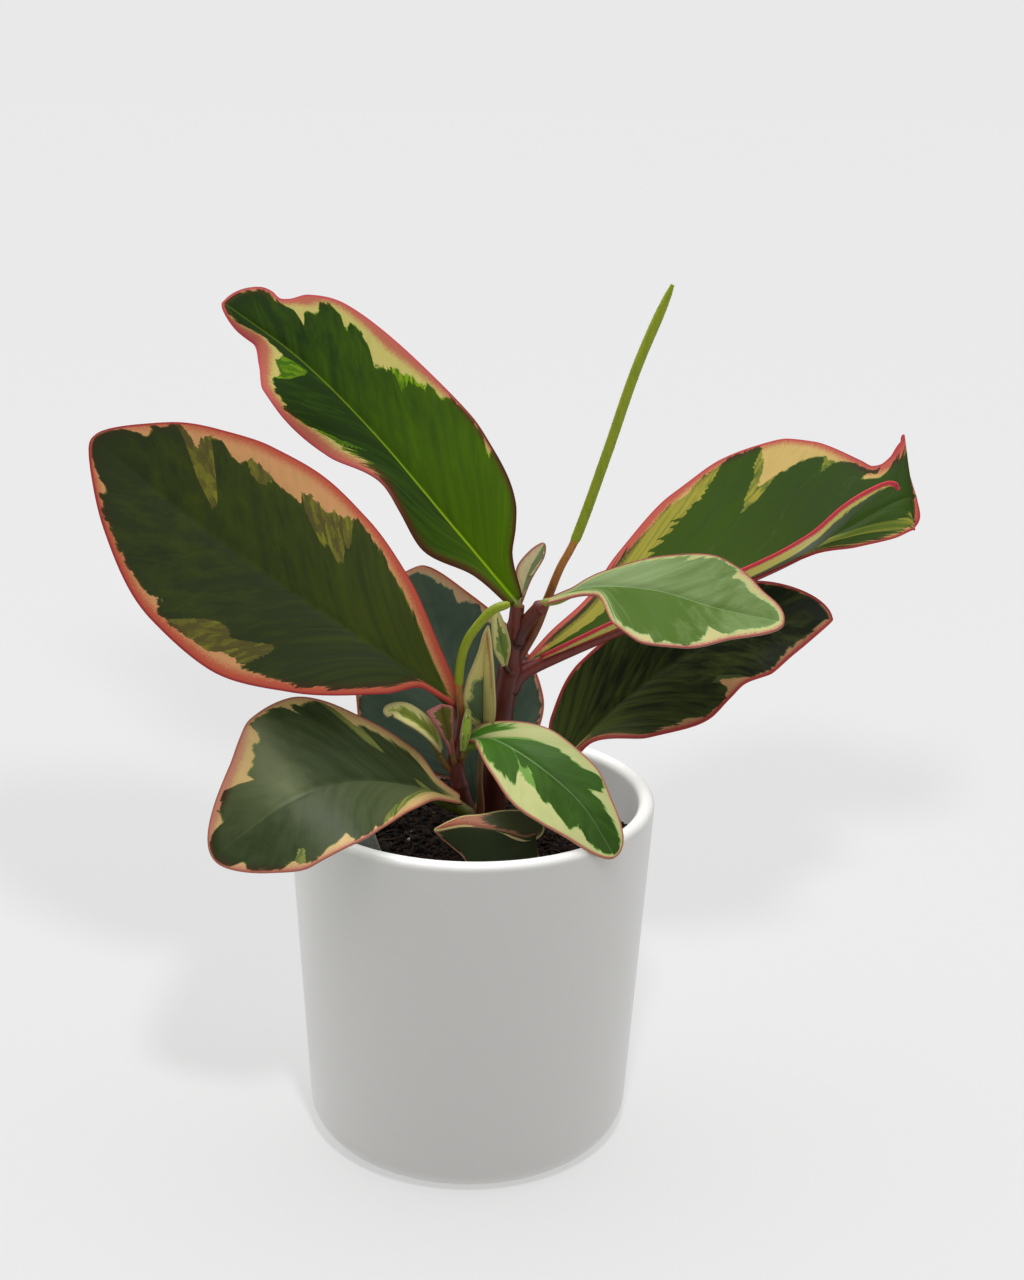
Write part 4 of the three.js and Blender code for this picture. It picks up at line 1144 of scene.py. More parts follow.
# spine is the midrib from base to tip, face the way the upper side looks, left and right are
# half-widths by stations as seen from above, fold lifts each half in degrees, curl bends it further
# and wave is a list of [side, height, cycles, phase]. A higher blunt rounds the tip off later, and
# lean is how far a side vein slants. A small blade has a coarser mesh.
LEAVES = {
    "leaf_left_large": {
        "slot": "leaf_green",
        "stalk": [[-3.4, -9.4, 130], [-4.8, -8, 136]],
        "stalk_radius": [1.5, 1.3],
        "spine": [[-5, -8.5, 139.3], [-26, -15, 156], [-50, -19, 174], [-76, -23.5, 195], [-103, -27, 219]],
        "face": [[0.3, -0.75, 0.6], [0.1, -0.85, 0.5]],
        "left": [[0, 1.5], [0.1, 2], [0.2, 10.5], [0.4, 25.3], [0.58, 32.4], [0.72, 29.8], [0.88, 19.2],
                 [1, 8]],
        "right": [[0, 3], [0.12, 11.4], [0.3, 24.3], [0.45, 31.3], [0.58, 33.6], [0.72, 30.8], [0.83, 25.4],
                  [0.89, 21.6], [0.95, 15.4], [1, 10]],
        "fold": [[0, 14, 14], [0.5, 10, 8], [1, 6, 6]],
        "curl": [[0, 0, 0], [0.5, -10, -14], [1, -4, -4]],
    },
    "leaf_upper_left": {
        "slot": "leaf_green",
        "stalk": [[12.5, 1, 163], [12.3, 1, 166]],
        "stalk_radius": [1.7, 1.6],
        "spine": [[12, 1, 167.5], [-7, 8, 188], [-31, 16, 214], [-53, 20.5, 234.5], [-75, 22, 250]],
        "face": [[0.3, -0.8, 0.5], [0.2, -0.8, 0.5]],
        "left": [[0, 3], [0.12, 5.6], [0.26, 12.8], [0.34, 11], [0.4, 9.6], [0.52, 15.4], [0.66, 18],
                 [0.76, 15.8], [0.82, 9.6], [0.87, 4.8], [0.93, 5.2], [1, 4.5]],
        "right": [[0, 2.5], [0.1, 8], [0.15, 14], [0.2, 19], [0.26, 22.4], [0.33, 24.6], [0.4, 26],
                  [0.5, 25.4], [0.62, 24.4], [0.75, 22.4], [0.832, 17.6], [0.862, 13.4], [0.882, 12.2],
                  [0.91, 13.4], [0.94, 14], [0.965, 13.6], [1, 13]],
        "fold": FOLD,
        "curl": [[0, 0, 0], [0.5, -10, -10], [1, -4, -4]],
        "wave": [[-1, 1.6, 3, 0.1]],
    },
    "leaf_right_folded": {
        "slot": "leaf_green",
        "stalk": [[10.2, 3.2, 140], [14, 4, 145]],
        "stalk_radius": [3.5, 2.5],
        "spine": [[15.5, 4, 148], [47, 9, 160.4], [82, 12.5, 174], [108, 16, 186.5], [124.5, 19, 195.5],
                  [130.8, 20.5, 196.6]],
        "face": [[-0.4, -0.6, 0.7], [-0.3, -0.7, 0.6], [-0.3, -0.85, 0.4]],
        "lean": 0.55,
        "left": [[0, 1], [0.06, 6.5], [0.14, 12], [0.22, 22.4], [0.33, 34], [0.45, 38], [0.57, 35.6],
                 [0.68, 28.8], [0.77, 16.4], [0.79, 13.4], [0.82, 12.7], [0.86, 13.8], [0.9, 17.2],
                 [0.93, 19], [0.96, 20.3], [1, 21]],
        "right": [[0, 1], [0.45, 1.5], [0.52, 2], [0.62, 6], [0.75, 9.5], [0.9, 9.6], [1, 6.5]],
        "blunt": 90,
        "fold": [[0, 10, 10], [0.5, 10, -10], [1, 0, 0]],
        "extra": [{
            "spine": [[20, 5, 149], [47, 8.8, 160.4], [82, 12, 174], [101, 12.5, 184.2], [112, 11.5, 195.5],
                      [119.5, 9.5, 202.8], [122.8, 8, 202]],
            "face": [[-0.38, 0.56, 0.73]],
            "left": [[0, 0.8]],
            "right": [[0, 3], [0.17, 7], [0.33, 9.5], [0.5, 11.5], [0.67, 9], [0.83, 3.5], [1, 1.2]],
        }],
    },
    "leaf_right_young": {
        "slot": "leaf_young",
        "stalk": [[18.6, -1, 166], [20.6, -1.9, 168.3]],
        "stalk_radius": [1.6, 1.2],
        "spine": [[20.8, -2, 168.6], [33, -8.5, 175], [51, -16, 176.5], [68, -23, 173.5], [86.2, -28, 171.1]],
        "face": [[-0.1, -0.6, 0.8], [0, -0.75, 0.65], [0.1, -0.65, 0.75]],
        "left": [[0, 1], [0.14, 1], [0.3, 4.5], [0.5, 10.5], [0.68, 15], [0.8, 13.5], [0.92, 9], [1, 8]],
        "right": [[0, 1], [0.12, 2.5], [0.29, 3.5], [0.4, 14], [0.56, 19], [0.7, 16.5], [0.84, 9.5],
                  [1, 5.5]],
        "fold": FOLD,
    },
    "leaf_right_low": {
        "slot": "leaf_green",
        "stalk": [[6.5, 5, 99], [8, 7, 102]],
        "stalk_radius": [1.8, 1.7],
        "spine": [[9, 8, 103], [26, 13.5, 112.5], [44.5, 19, 130.1], [64, 22.5, 145], [86, 23.5, 155],
                  [109, 22, 158]],
        "face": [[-0.1, -0.75, 0.65]],
        "left": [[0, 1.5], [0.15, 2], [0.27, 12], [0.4, 18], [0.52, 18.5], [0.8, 15], [0.92, 12], [1, 10]],
        "right": [[0, 1.5], [0.28, 2.6], [0.4, 15.6], [0.58, 23], [0.66, 21], [0.72, 18.6], [0.8, 17.8],
                  [0.9, 12], [1, 4]],
        "fold": FOLD,
        "wave": [[1, 1.5, 3, 0.2]],
    },
    "leaf_back": {
        "slot": "leaf_green",
        "stalk": [[5.5, 5.5, 97], [2.8, 7.5, 98.5]],
        "stalk_radius": [1.9, 1.8],
        "spine": [[1.5, 8, 99], [-1, 13, 113], [-4.6, 20, 130.5], [-11, 27, 151], [-18.6, 32, 169.6]],
        "face": [[0, -0.9, 0.4]],
        "left": [[0, 1.5], [0.12, 3], [0.3, 23], [0.45, 32.4], [0.6, 31], [0.85, 24], [1, 18]],
        "right": [[0, 1.5], [0.12, 3], [0.3, 21], [0.45, 25.7], [0.65, 22.8], [0.72, 19], [0.85, 11.8],
                  [0.92, 9], [1, 6.4]],
        "fold": FOLD,
    },
    "leaf_front_left": {
        "slot": "leaf_green",
        "stalk": [[-0.6, -6.8, 101], [-1.6, -9.5, 105.5]],
        "stalk_radius": [2.3, 2.1],
        "spine": [[-3.5, -12, 110], [-17.4, -22.5, 118.5], [-34, -35.5, 124.5], [-50, -47.5, 122.5],
                  [-69, -55, 109]],
        "face": [[0, -0.55, 0.85], [-0.1, -0.7, 0.7]],
        "left": [[0, 2], [0.12, 3.5], [0.3, 11], [0.5, 20], [0.65, 23], [0.8, 22.5], [0.9, 17], [1, 10]],
        "right": [[0, 2], [0.12, 5], [0.2, 11], [0.4, 20.5], [0.57, 29], [0.7, 27], [0.82, 18.5], [0.93, 13],
                  [1, 10]],
        "fold": FOLD,
    },
    "leaf_front_right": {
        "slot": "leaf_green",
        "stalk": [[-4.4, -9, 119.5], [-2.6, -9, 125]],
        "stalk_radius": [1.9, 1.7],
        "spine": [[-1.8, -9, 128], [7, -15, 130], [20, -24.5, 125.5], [32, -33, 117.5], [41, -41, 105.5]],
        "face": [[0.2, -0.5, 0.85], [0.4, -0.7, 0.6]],
        "left": [[0, 2], [0.08, 3.8], [0.2, 6], [0.45, 12], [0.65, 11.5], [0.8, 8.5], [1, 7]],
        "right": [[0, 1], [0.08, 1.5], [0.2, 6], [0.4, 14], [0.58, 18], [0.72, 16], [0.88, 10.5], [1, 6]],
        "fold": [[0, 30, 20], [0.5, 12, 12], [1, 8, 8]],
    },
    "leaf_front_low": {
        "slot": "leaf_pink",
        "small": True,
        "stalk": [[6.4, 4, 97], [12, -3, 100], [22, -12, 104]],
        "stalk_radius": [1.4, 1.3],
        "spine": [[25, -22, 109.9], [20.2, -24.5, 110.2], [16.2, -27, 109], [9.6, -27, 109.8],
                  [3, -27, 109.8], [-2.7, -27.2, 109.6], [-10.2, -27.7, 107]],
        "face": [[0, -0.6, 0.8]],
        "left": [[0, 1], [0.16, 2.6], [0.33, 5.4], [0.5, 3.8], [0.66, 2.3], [0.83, 1.7], [1, 1]],
        "right": [[0, 1], [0.16, 2.6], [0.33, 5], [0.5, 3.8], [0.66, 2.3], [0.83, 1.7], [1, 1]],
        "fold": [[0, 0, 0]],
        "extra": [{
            "small": True,
            "spine": [[19, -30.2, 107.2], [15.7, -30.6, 106.7], [9.4, -29.6, 107.8], [3.1, -28.8, 108.4],
                      [-2.1, -28.3, 108.2], [-10, -27.8, 106.6]],
            "face": [[0, -0.9, 0.25]],
            "left": [[0, 4], [0.2, 11], [0.5, 12.5], [0.75, 10.5], [0.88, 6.5], [1, 1.5]],
            "right": [[0, 0.6]],
        }],
    },
    "leaf_centre_folded": {
        "slot": "leaf_cream",
        "small": True,
        "stalk": [[-0.3, -6.6, 96], [3, -5.8, 103], [2.4, -4.6, 112], [2.6, -3.4, 120]],
        "stalk_radius": [1, 0.9],
        "spine": [[3.4, -3.6, 126], [3.2, -6.2, 138], [3.3, -8, 151], [4.1, -7, 162.5]],
        "face": [[-0.2, -0.8, 0.3]],
        "left": [[0, 1], [0.15, 2.4], [0.25, 6], [0.4, 6.9], [0.55, 5.8], [0.7, 3.4], [0.8, 2.2], [0.92, 1.6],
                 [1, 0.8]],
        "right": [[0, 1], [0.15, 2.4], [0.25, 6], [0.4, 6.9], [0.55, 6.2], [0.7, 5], [0.8, 3.6], [0.92, 2.2],
                  [1, 0.8]],
        "fold": [[0, 45, 45]],
    },
    "leaf_centre_small": {
        "slot": "leaf_cream",
        "small": True,
        "stalk": [[11.4, 2.3, 145.5], [10, -1.5, 147.5]],
        "stalk_radius": [1, 0.9],
        "spine": [[9, -3.5, 149.5], [7.5, -4.5, 158], [6, -4.5, 167]],
        "face": [[0.2, -0.8, 0.3]],
        "left": [[0, 1], [0.4, 3.5], [1, 1.2]],
        "right": [[0, 1], [0.4, 3], [1, 1.2]],
        "fold": [[0, 40, 40], [1, 30, 30]],
    },
    "leaf_top_small": {
        "slot": "leaf_cream",
        "small": True,
        "stalk": [[12.4, 1.4, 161], [12.6, 5, 164]],
        "stalk_radius": [1, 0.9],
        "spine": [[13, 6.6, 165.6], [15.2, 9.6, 173.6], [20, 12, 182.8]],
        "face": [[0.4, -0.75, 0.5]],
        "left": [[0, 1], [0.3, 3], [0.55, 4.2], [0.8, 3], [1, 1.4]],
        "right": [[0, 0.8], [0.4, 1.6], [0.8, 2.2], [1, 1.4]],
        "fold": [[0, 20, 20], [1, 10, 10]],
    },
    "leaf_curled_small": {
        "slot": "leaf_cream",
        "small": True,
        "stalk": [[-4.3, -8.9, 116.5], [-7.8, -10.4, 121]],
        "stalk_radius": [1, 0.9],
        "spine": [[-9.2, -12.2, 125.5], [-12, -14, 131], [-16.5, -16, 136], [-20.6, -17.4, 138.8],
                  [-23.6, -18.6, 139.6], [-24.2, -20, 138.6]],
        "face": [[0.3, -0.5, 0.8]],
        "left": [[0, 1], [0.25, 4.4], [0.5, 4.8], [0.75, 2.8], [1, 0.9]],
        "right": [[0, 1], [0.25, 3.4], [0.5, 3.8], [0.75, 2.4], [1, 0.8]],
        "fold": [[0, 30, 30], [1, 15, 15]],
    },
    "leaf_pink_small": {
        "slot": "leaf_pink",
        "small": True,
        "stalk": [[-4.6, -9.2, 119.5], [-5.2, -11, 122.5]],
        "stalk_radius": [1.2, 1],
        "spine": [[-5.6, -12.2, 125], [-7.2, -13.4, 132.5], [-9, -14.2, 140.6]],
        "face": [[-0.1, -0.8, 0.3]],
        "left": [[0, 0.8], [0.35, 1.8], [0.7, 3.4], [1, 5.2]],
        "right": [[0, 0.8], [0.35, 1.8], [0.7, 3.2], [1, 4.2]],
        "blunt": 60,
        "fold": [[0, 50, 50], [1, 30, 30]],
    },
    "shoot_bud": {
        "slot": "leaf_cream",
        "small": True,
        "stalk": [[-3.6, -9.1, 121.5], [-2.8, -11.6, 123.5]],
        "stalk_radius": [0.8, 0.7],
        "spine": [[-2.7, -12.6, 126], [-1.8, -13, 133], [-1.2, -13.2, 139.3]],
        "face": [[0.2, -0.9, 0.1]],
        "left": [[0, 0.8], [0.4, 1.6], [1, 0.8]],
        "right": [[0, 0.8], [0.4, 1.6], [1, 0.8]],
        "fold": [[0, 30, 30], [1, 20, 20]],
    },
}


# Paint of each blade. The zones cream, haze (half green) and blush are widths in from the left and the
# right margin in millimetres, by stations [place along the margin, width]. glow is how light the green
# is, from 0 to 1, by stations [t, left, right]. It is partly the blade's own tone, and on some blades it
# is painted light: painted sheen, and painted light shining through the blade from behind. Blades with
# a number are a leaf's extra parts.
PAINT = {
    "leaf_left_large": {
        "green": "#2d351d", "light_green": "#47540e", "haze": "#544e28", "light_haze": "#80802a",
        "cream": "#c99463", "blush": "#b5523f", "edge": "#a23a38", "midrib_share": 0.15, "blush_soft": 3.4,
        "vein": "#202a14", "vein_share": 0.3, "mottle": 0.5, "stalk": ("#6d2a22", "#4c5a20"),
        "cream_zone": (
            [[0, 2.4], [0.15, 2.8], [0.3, 1.6], [0.45, 2], [0.48, 2.9], [0.52, 3.1], [0.55, 3.9], [0.58, 5.6],
             [0.6, 6.8], [0.61, 6], [0.62, 4.4], [0.66, 3.4], [0.7, 2.6], [0.73, 2.4], [0.745, 3.2],
             [0.757, 5.2], [0.765, 3.6], [0.79, 2.8], [0.83, 2.2], [0.87, 1], [0.89, 1.6], [0.9, 0.9],
             [0.94, 1], [0.95, 2.4], [0.965, 2.6], [0.98, 1.4], [1, 0.8]],
            [[0, 2.4], [0.12, 3.6], [0.36, 4], [0.43, 3], [0.49, 2.5], [0.52, 4.3], [0.54, 5.5], [0.57, 6.3],
             [0.59, 8.2], [0.6, 8.6], [0.62, 7.7], [0.65, 7.5], [0.66, 8], [0.664, 11.6], [0.68, 10.8],
             [0.7, 10], [0.72, 9], [0.73, 7.8], [0.75, 6.6], [0.765, 5.3], [0.78, 5.7], [0.79, 7.3],
             [0.8, 7.7], [0.81, 6.8], [0.82, 5], [0.83, 3], [0.845, 2.2], [0.86, 2.6], [0.87, 3.6],
             [0.88, 6.4], [0.886, 6], [0.892, 2], [0.9, 0.6], [0.94, 0.6], [0.955, 2.2], [0.965, 3.5],
             [0.975, 1.8], [0.98, 0.8], [1, 0.6]],
        ),
        "haze_zone": (
            [[0.55, -2], [0.562, 10.4], [0.6, 11.8], [0.63, 11], [0.655, 11], [0.67, 13.6], [0.68, 13.8],
             [0.695, 11.5], [0.705, 8], [0.712, 3], [0.72, -2]],
            [[0.49, -2], [0.505, 4.5], [0.525, 8.5], [0.55, 12.4], [0.565, 15.5], [0.585, 16.8], [0.6, 14.6],
             [0.62, 15.6], [0.64, 14.6], [0.655, 12.6], [0.662, -2], [0.72, -2], [0.728, 9.4], [0.755, 11],
             [0.78, 9.2], [0.79, -2], [0.85, -2], [0.857, 18], [0.865, 21.6], [0.876, 21.8], [0.886, 18.5],
             [0.896, 13.5], [0.902, 9], [0.906, -2]],
        ),
        "blush_zone": (
            [[0, 3], [0.3, 2.6], [0.62, 2.8], [0.85, 2], [1, 1]],
            [[0, 3], [0.3, 3], [0.45, 2.4], [0.7, 2.4], [0.85, 1.6], [1, 0.8]],
        ),
        "glow": [[0, 0.5, 0.8], [0.2, 0.15, 0.5], [0.5, 0.1, 0.35], [0.75, 0.15, 0.3], [1, 0, 0.05]],
    },
    "leaf_upper_left": {
        # Painted light: the bright light green and the high glow towards the stalk, most on the right half,
        # paint light shining through the blade from behind.
        "green": "#20340f", "light_green": "#4a6a04", "haze": "#3f6410", "light_haze": "#86a618",
        "cream": "#bfb468", "blush": "#b26450", "edge": "#bd5254", "bronze": "#4a2c18", "vein": "#567c1c",
        "vein_share": 0.14, "mottle": 0.45, "midrib": "#9cbc1e", "midrib_share": 0.85, "jag": 0.4,
        "blush_soft": 2.6, "shine": 0.06, "edge_start": 0.42, "edge_width": 0.7,
        "stalk": ("#6d2a22", "#61781c"),
        "cream_zone": (
            [[0, -1], [0.38, -1], [0.43, 0.6], [0.48, 1.6], [0.53, 3.1], [0.58, 4.2], [0.6, 4.7], [0.63, 4.3],
             [0.66, 3.2], [0.69, 1.8], [0.705, 1.6], [0.715, 3.2], [0.76, 2.8], [0.8, 3.4], [0.815, 4],
             [0.83, 6.2], [0.845, 5], [0.88, 5], [0.9, 7.2], [0.915, 6], [0.93, 4], [0.95, 2.8], [0.97, 1.4],
             [1, 0.8]],
            [[0, -1], [0.32, -1], [0.345, 2.4], [0.355, 2.4], [0.37, 0], [0.46, 0.6], [0.48, 2], [0.495, 3.5],
             [0.515, 2.8], [0.53, 2.4], [0.54, 4.6], [0.56, 5], [0.58, 4.6], [0.6, 6.2], [0.63, 7.2],
             [0.65, 8.2], [0.68, 9.6], [0.694, 10.4], [0.7, 7.4], [0.71, 5.6], [0.725, 4.5], [0.75, 4],
             [0.757, 6.6], [0.766, 6.8], [0.772, 3.2], [0.8, 1.6], [0.815, 1.8], [0.825, 4], [0.838, 5.6],
             [0.85, 4.3], [0.865, 5], [0.876, 8.6], [0.884, 3], [0.892, 0.9], [1, 0.7]],
        ),
        "haze_zone": (
            [[0.58, -2], [0.59, 6], [0.62, 6.6], [0.64, 5.4], [0.655, -2], [0.805, -2], [0.813, 8],
             [0.83, 11], [0.85, 14.6], [0.865, 14.4], [0.885, 11], [0.9, 7.5], [0.91, -2]],
            [[0.53, -2], [0.54, 5.4], [0.59, 6.4], [0.602, 9.3], [0.62, 9.6], [0.635, 8.4], [0.656, 9.4],
             [0.662, -2]],
        ),
        "blush_zone": (
            [[0, 1.4], [0.4, 1.6], [0.55, 3], [0.62, 3.4], [0.7, 2.4], [0.8, 2.6], [0.9, 4], [0.95, 2.4],
             [1, 1]],
            [[0, 0.6], [0.45, 1.5], [0.55, 2.6], [0.65, 3.8], [0.7, 2.8], [0.8, 1.5], [0.845, 3.4],
             [0.875, 1.8], [1, 1.2]],
        ),
        "glow": [[0, 0.9, 1], [0.2, 0.35, 0.8], [0.45, 0.1, 0.55], [0.7, 0, 0.25], [1, 0, 0.05]],
    },
    "leaf_right_folded": {
        "green": "#2f4712", "light_green": "#385204", "haze": "#5a7028", "light_haze": "#a39a3a",
        "cream": "#d0b26c", "blush": "#bd5c4c", "edge": "#b34446", "midrib": "#8f9878", "midrib_share": 0.4,
        "haze_jag": 2.6, "mottle": 0.7, "vein": "#5f7440", "vein_share": 0.15,
        "stalk": ("#4a1a17", "#7a2c22"),
        "cream_zone": (
            [[0, 2], [0.25, 1.4], [0.3, 2.4], [0.34, 3], [0.4, 2.4], [0.45, 1.4], [0.47, 0.8], [0.55, 0.6],
             [0.56, 2.5], [0.57, 4.6], [0.585, 6], [0.6, 10], [0.61, 13.4], [0.625, 12.4], [0.64, 11],
             [0.655, 10], [0.67, 9], [0.68, 7], [0.69, 6], [0.71, 5], [0.725, 3.8], [0.75, 4], [0.768, 3.6],
             [0.775, 1.6], [0.825, 0.8], [0.835, 2.6], [0.85, 3.8], [0.865, 3.4], [0.88, 1.6], [0.9, 1],
             [1, 1]],
            [[0, 0.4], [0.6, 0.6], [1, 1.2]],
        ),
        "haze_zone": (
            [[0.24, -2], [0.27, 5], [0.3, 10], [0.305, 7.6], [0.34, 12], [0.345, 8.4], [0.38, 12], [0.384, 8],
             [0.41, 10.6], [0.414, 6.2], [0.435, 8.6], [0.438, 4.4], [0.455, 6.4], [0.465, -2], [0.55, -2],
             [0.56, 7.5], [0.58, 9], [0.6, 15], [0.615, 19], [0.63, 16], [0.645, 10], [0.655, -2],
             [0.715, -2], [0.728, 5], [0.742, 6.5], [0.752, 9.6], [0.76, 8], [0.768, -2]],
            [[0.74, -2], [0.8, 4], [0.86, 5.4], [0.95, 4.4], [1, 2]],
        ),
        "blush_zone": (
            [[0, 2], [0.3, 3], [0.4, 2], [0.55, 1.4], [0.75, 1.8], [0.85, 2.6], [1, 1.4]],
            [[0, 0.6], [0.8, 0.8], [1, 1.8]],
        ),
        "glow": [[0, 0.9, 0.5], [0.35, 0.9, 0.4], [0.47, 0.55, 0.3], [0.6, 0.2, 0.3], [0.8, 0.1, 0.3],
                 [1, 0.1, 0.3]],
    },
    "leaf_right_folded_1": {
        "green": "#44533a", "light_green": "#5c6b4e", "haze": "#6f8048", "light_haze": "#8b9a58",
        "cream": "#cfc468", "blush": "#c9404a", "edge": "#c9404a", "jag": 0.7, "blush_soft": 0.8,
        "under_share": 0.0,
        "cream_zone": (
            [[0, -1]],
            [[0, 3], [0.3, 7], [0.45, 12], [0.6, 6], [0.75, 4], [0.9, 2.6], [1, 2]],
        ),
        "blush_zone": ([[0, 0]], [[0, 1.5], [1, 1.7]]),
    },
    "leaf_right_young": {
        # Painted sheen: the pale light green and the high glow of the left half paint the soft reflection on
        # the blade's upper side.
        "green": "#4a6818", "light_green": "#98ae78", "haze": "#a3bd7c", "light_haze": "#b5c47c",
        "cream": "#c3bc80", "blush": "#bd7c6c", "edge": "#a85c56", "midrib": "#a9c690", "mottle": 0.45,
        "midrib_share": 0.75, "jag": 0.4, "edge_width": 0.35, "blush_soft": 1.2, "shine": 0.08,
        "stalk": ("#7a3a26", "#93a040"),
        "cream_zone": (
            [[0, 2], [0.3, 1.6], [0.36, 0.6], [0.595, 0.3], [0.605, 2.4], [0.625, 2], [0.635, 0.3],
             [0.8, 0.4], [0.81, 3.8], [0.83, 2.5], [0.9, 2.4], [0.95, 1.6], [1, 1]],
            [[0, 2], [0.35, 1.2], [0.45, 1], [0.5, 1.6], [0.55, 2], [0.58, 2.6], [0.6, 3.4], [0.607, 0.8],
             [0.7, 0.7], [0.74, 1.2], [0.775, 1.6], [0.79, 3], [0.815, 4.2], [0.828, 5.4], [0.834, 1.6],
             [0.9, 1.8], [1, 1.6]],
        ),
        "haze_zone": ([[0, 3], [0.25, 3], [0.4, -2]], [[0, 3], [0.3, 3.6], [0.45, -2]]),
        "blush_zone": (
            [[0, 0], [0.79, 0], [0.81, 1], [0.85, 0.6], [1, 0.6]],
            [[0, 0.2], [0.5, 0.5], [0.8, 0.8], [1, 0.6]],
        ),
        "glow": [[0, 0.9, 0.5], [0.3, 1, 0.2], [0.45, 0.9, 0], [0.6, 0.5, 0], [0.85, 0.4, 0.35],
                 [1, 0.3, 0.4]],
    },
    "leaf_right_low": {
        "green": "#1e2516", "light_green": "#66762e", "haze": "#46532c", "light_haze": "#5c6634",
        "cream": "#c29468", "blush": "#b04e48", "edge": "#ae4340", "edge_width": 0.8, "jag": 0.4,
        "vein": "#5c6a38", "vein_share": 0.09, "mottle": 0.5, "stalk": ("#5a2a20", "#6a5a2c"),
        "cream_zone": (
            [[0, 0.2], [1, 0.5]],
            [[0, 0.6], [0.28, 1], [0.45, 1.5], [0.5, 1.8], [0.53, 2.8], [0.55, 2.4], [0.57, 1.2], [0.65, 0.8],
             [0.67, 1.8], [0.69, 3], [0.7, 4.4], [0.71, 6.6], [0.722, 6.8], [0.73, 2.8], [0.745, 1.2],
             [0.8, 0.8], [0.85, 1.2], [0.89, 2.2], [0.95, 1.6], [1, 1.6]],
        ),
        "haze_zone": (
            [[0, 4], [0.3, 3], [0.4, -2]],
            [[0.3, -2], [0.4, 5], [0.5, -2], [0.695, -2], [0.705, 8], [0.735, 8.6], [0.75, -2]],
        ),
        "blush_zone": ([[0, 1], [1, 0.5]], [[0, 1.2], [0.5, 1.4], [0.7, 1], [0.8, 0.8], [1, 1.4]]),
        "glow": [[0, 0.45, 0.45], [0.3, 0.3, 0.4], [0.5, 0.15, 0.2], [1, 0, 0.05]],
    },
    "leaf_back": {
        "green": "#3f544a", "light_green": "#72826e", "haze": "#7c8c78", "light_haze": "#8c9a80",
        "cream": "#e0b890", "blush": "#cf8468", "edge": "#bd6a58", "shine": 0.2,
        "cream_zone": (
            [[0, 0.2], [0.8, 0.8], [1, 2]],
            [[0, 0.4], [0.6, 0.8], [0.7, 1.2], [0.76, 3.2], [0.8, 1.2], [0.84, 1.6], [0.875, 4.5], [0.9, 2],
             [0.93, 2.6], [1, 3]],
        ),
        "blush_zone": ([[0, 0.8], [1, 1]], [[0, 0.8], [1, 1]]),
        "glow": [[0, 0.3, 0.3], [1, 0.4, 0.4]],
    },
    "leaf_front_left": {
        # Painted sheen: the grey light green and the high glow of the right half near t 0.72 paint a silvery
        # reflection.
        "green": "#2c391a", "light_green": "#6c7450", "haze": "#5c6a34", "light_haze": "#98984c",
        "cream": "#cdae74", "blush": "#bf8068", "edge": "#aa6654", "jag": 0.4, "shine": 0.15,
        "stalk": ("#6d2a22", "#6c7a2c"),
        "cream_zone": (
            [[0, 2], [0.3, 3], [0.38, 3], [0.42, 0.8], [0.655, 0.4], [0.675, 2], [0.69, 4.2], [0.705, 3.2],
             [0.74, 2.2], [0.765, 1.2], [0.8, 0.9], [0.84, 2], [0.855, 3.2], [0.868, 1], [0.88, 0.5],
             [0.95, 0.6], [0.965, 2], [0.98, 2.4], [0.99, 0.8], [1, 0.6]],
            [[0, 2], [0.3, 2.4], [0.45, 3], [0.475, 4.2], [0.485, 1.2], [0.55, 1.2], [0.57, 2.3],
             [0.597, 2.5], [0.606, 6], [0.614, 2], [0.64, 0.9], [0.72, 1.2], [0.735, 3.6], [0.752, 5.4],
             [0.765, 4.2], [0.78, 3.8], [0.8, 5], [0.83, 5.2], [0.85, 5.8], [0.86, 8], [0.868, 4.6],
             [0.88, 1.6], [0.93, 1.8], [0.95, 3], [0.968, 3.8], [0.982, 1.8], [1, 0.8]],
        ),
        "haze_zone": (
            [[0, 3], [0.25, 3.4], [0.33, 5], [0.42, 4.6], [0.5, 2], [0.52, -2], [0.81, -2], [0.82, 5],
             [0.845, 7], [0.852, -2]],
            [[0.44, -2], [0.455, 5], [0.48, 8], [0.505, 8], [0.512, -2]],
        ),
        "blush_zone": (
            [[0, 0.3], [0.65, 0.6], [0.85, 1.4], [1, 1.6]],
            [[0, 0.3], [0.7, 0.8], [0.8, 2.2], [0.9, 3], [1, 1.6]],
        ),
        "glow": [[0, 0.6, 0.3], [0.3, 0.5, 0.15], [0.5, 0.25, 0.1], [0.62, 0.2, 0.2], [0.72, 0.2, 0.8],
                 [0.82, 0.1, 0.5], [1, 0, 0]],
    },
    "leaf_front_right": {
        "green": "#2f4a14", "light_green": "#548c2c", "haze": "#6f9a44", "light_haze": "#8fae5c",
        "cream": "#bfc284", "blush": "#c79a78", "edge": "#b0705c", "midrib": "#a3c18a", "midrib_share": 0.5,
        "vein_share": 0.2, "blush_soft": 1.0, "stalk": ("#6d2a22", "#6f9030"),
        "cream_zone": (
            [[0, 0.4], [0.3, 0.7], [0.38, 2.4], [0.46, 5], [0.54, 5], [0.56, 3.5], [0.6, 4], [0.66, 3.4],
             [0.69, 3.2], [0.705, 1], [0.76, 0.6], [0.79, 1.4], [0.8, 4.6], [0.815, 5.2], [0.83, 3.6],
             [0.87, 3.1], [0.89, 2.2], [0.92, 1.4], [1, 0.9]],
            [[0, 0.6], [0.35, 0.8], [0.45, 2], [0.55, 3.6], [0.568, 4.2], [0.58, 7.2], [0.6, 8.6], [0.64, 8],
             [0.68, 9.4], [0.7, 8.4], [0.72, 7.4], [0.75, 7.4], [0.77, 6.8], [0.79, 5.6], [0.82, 4.6],
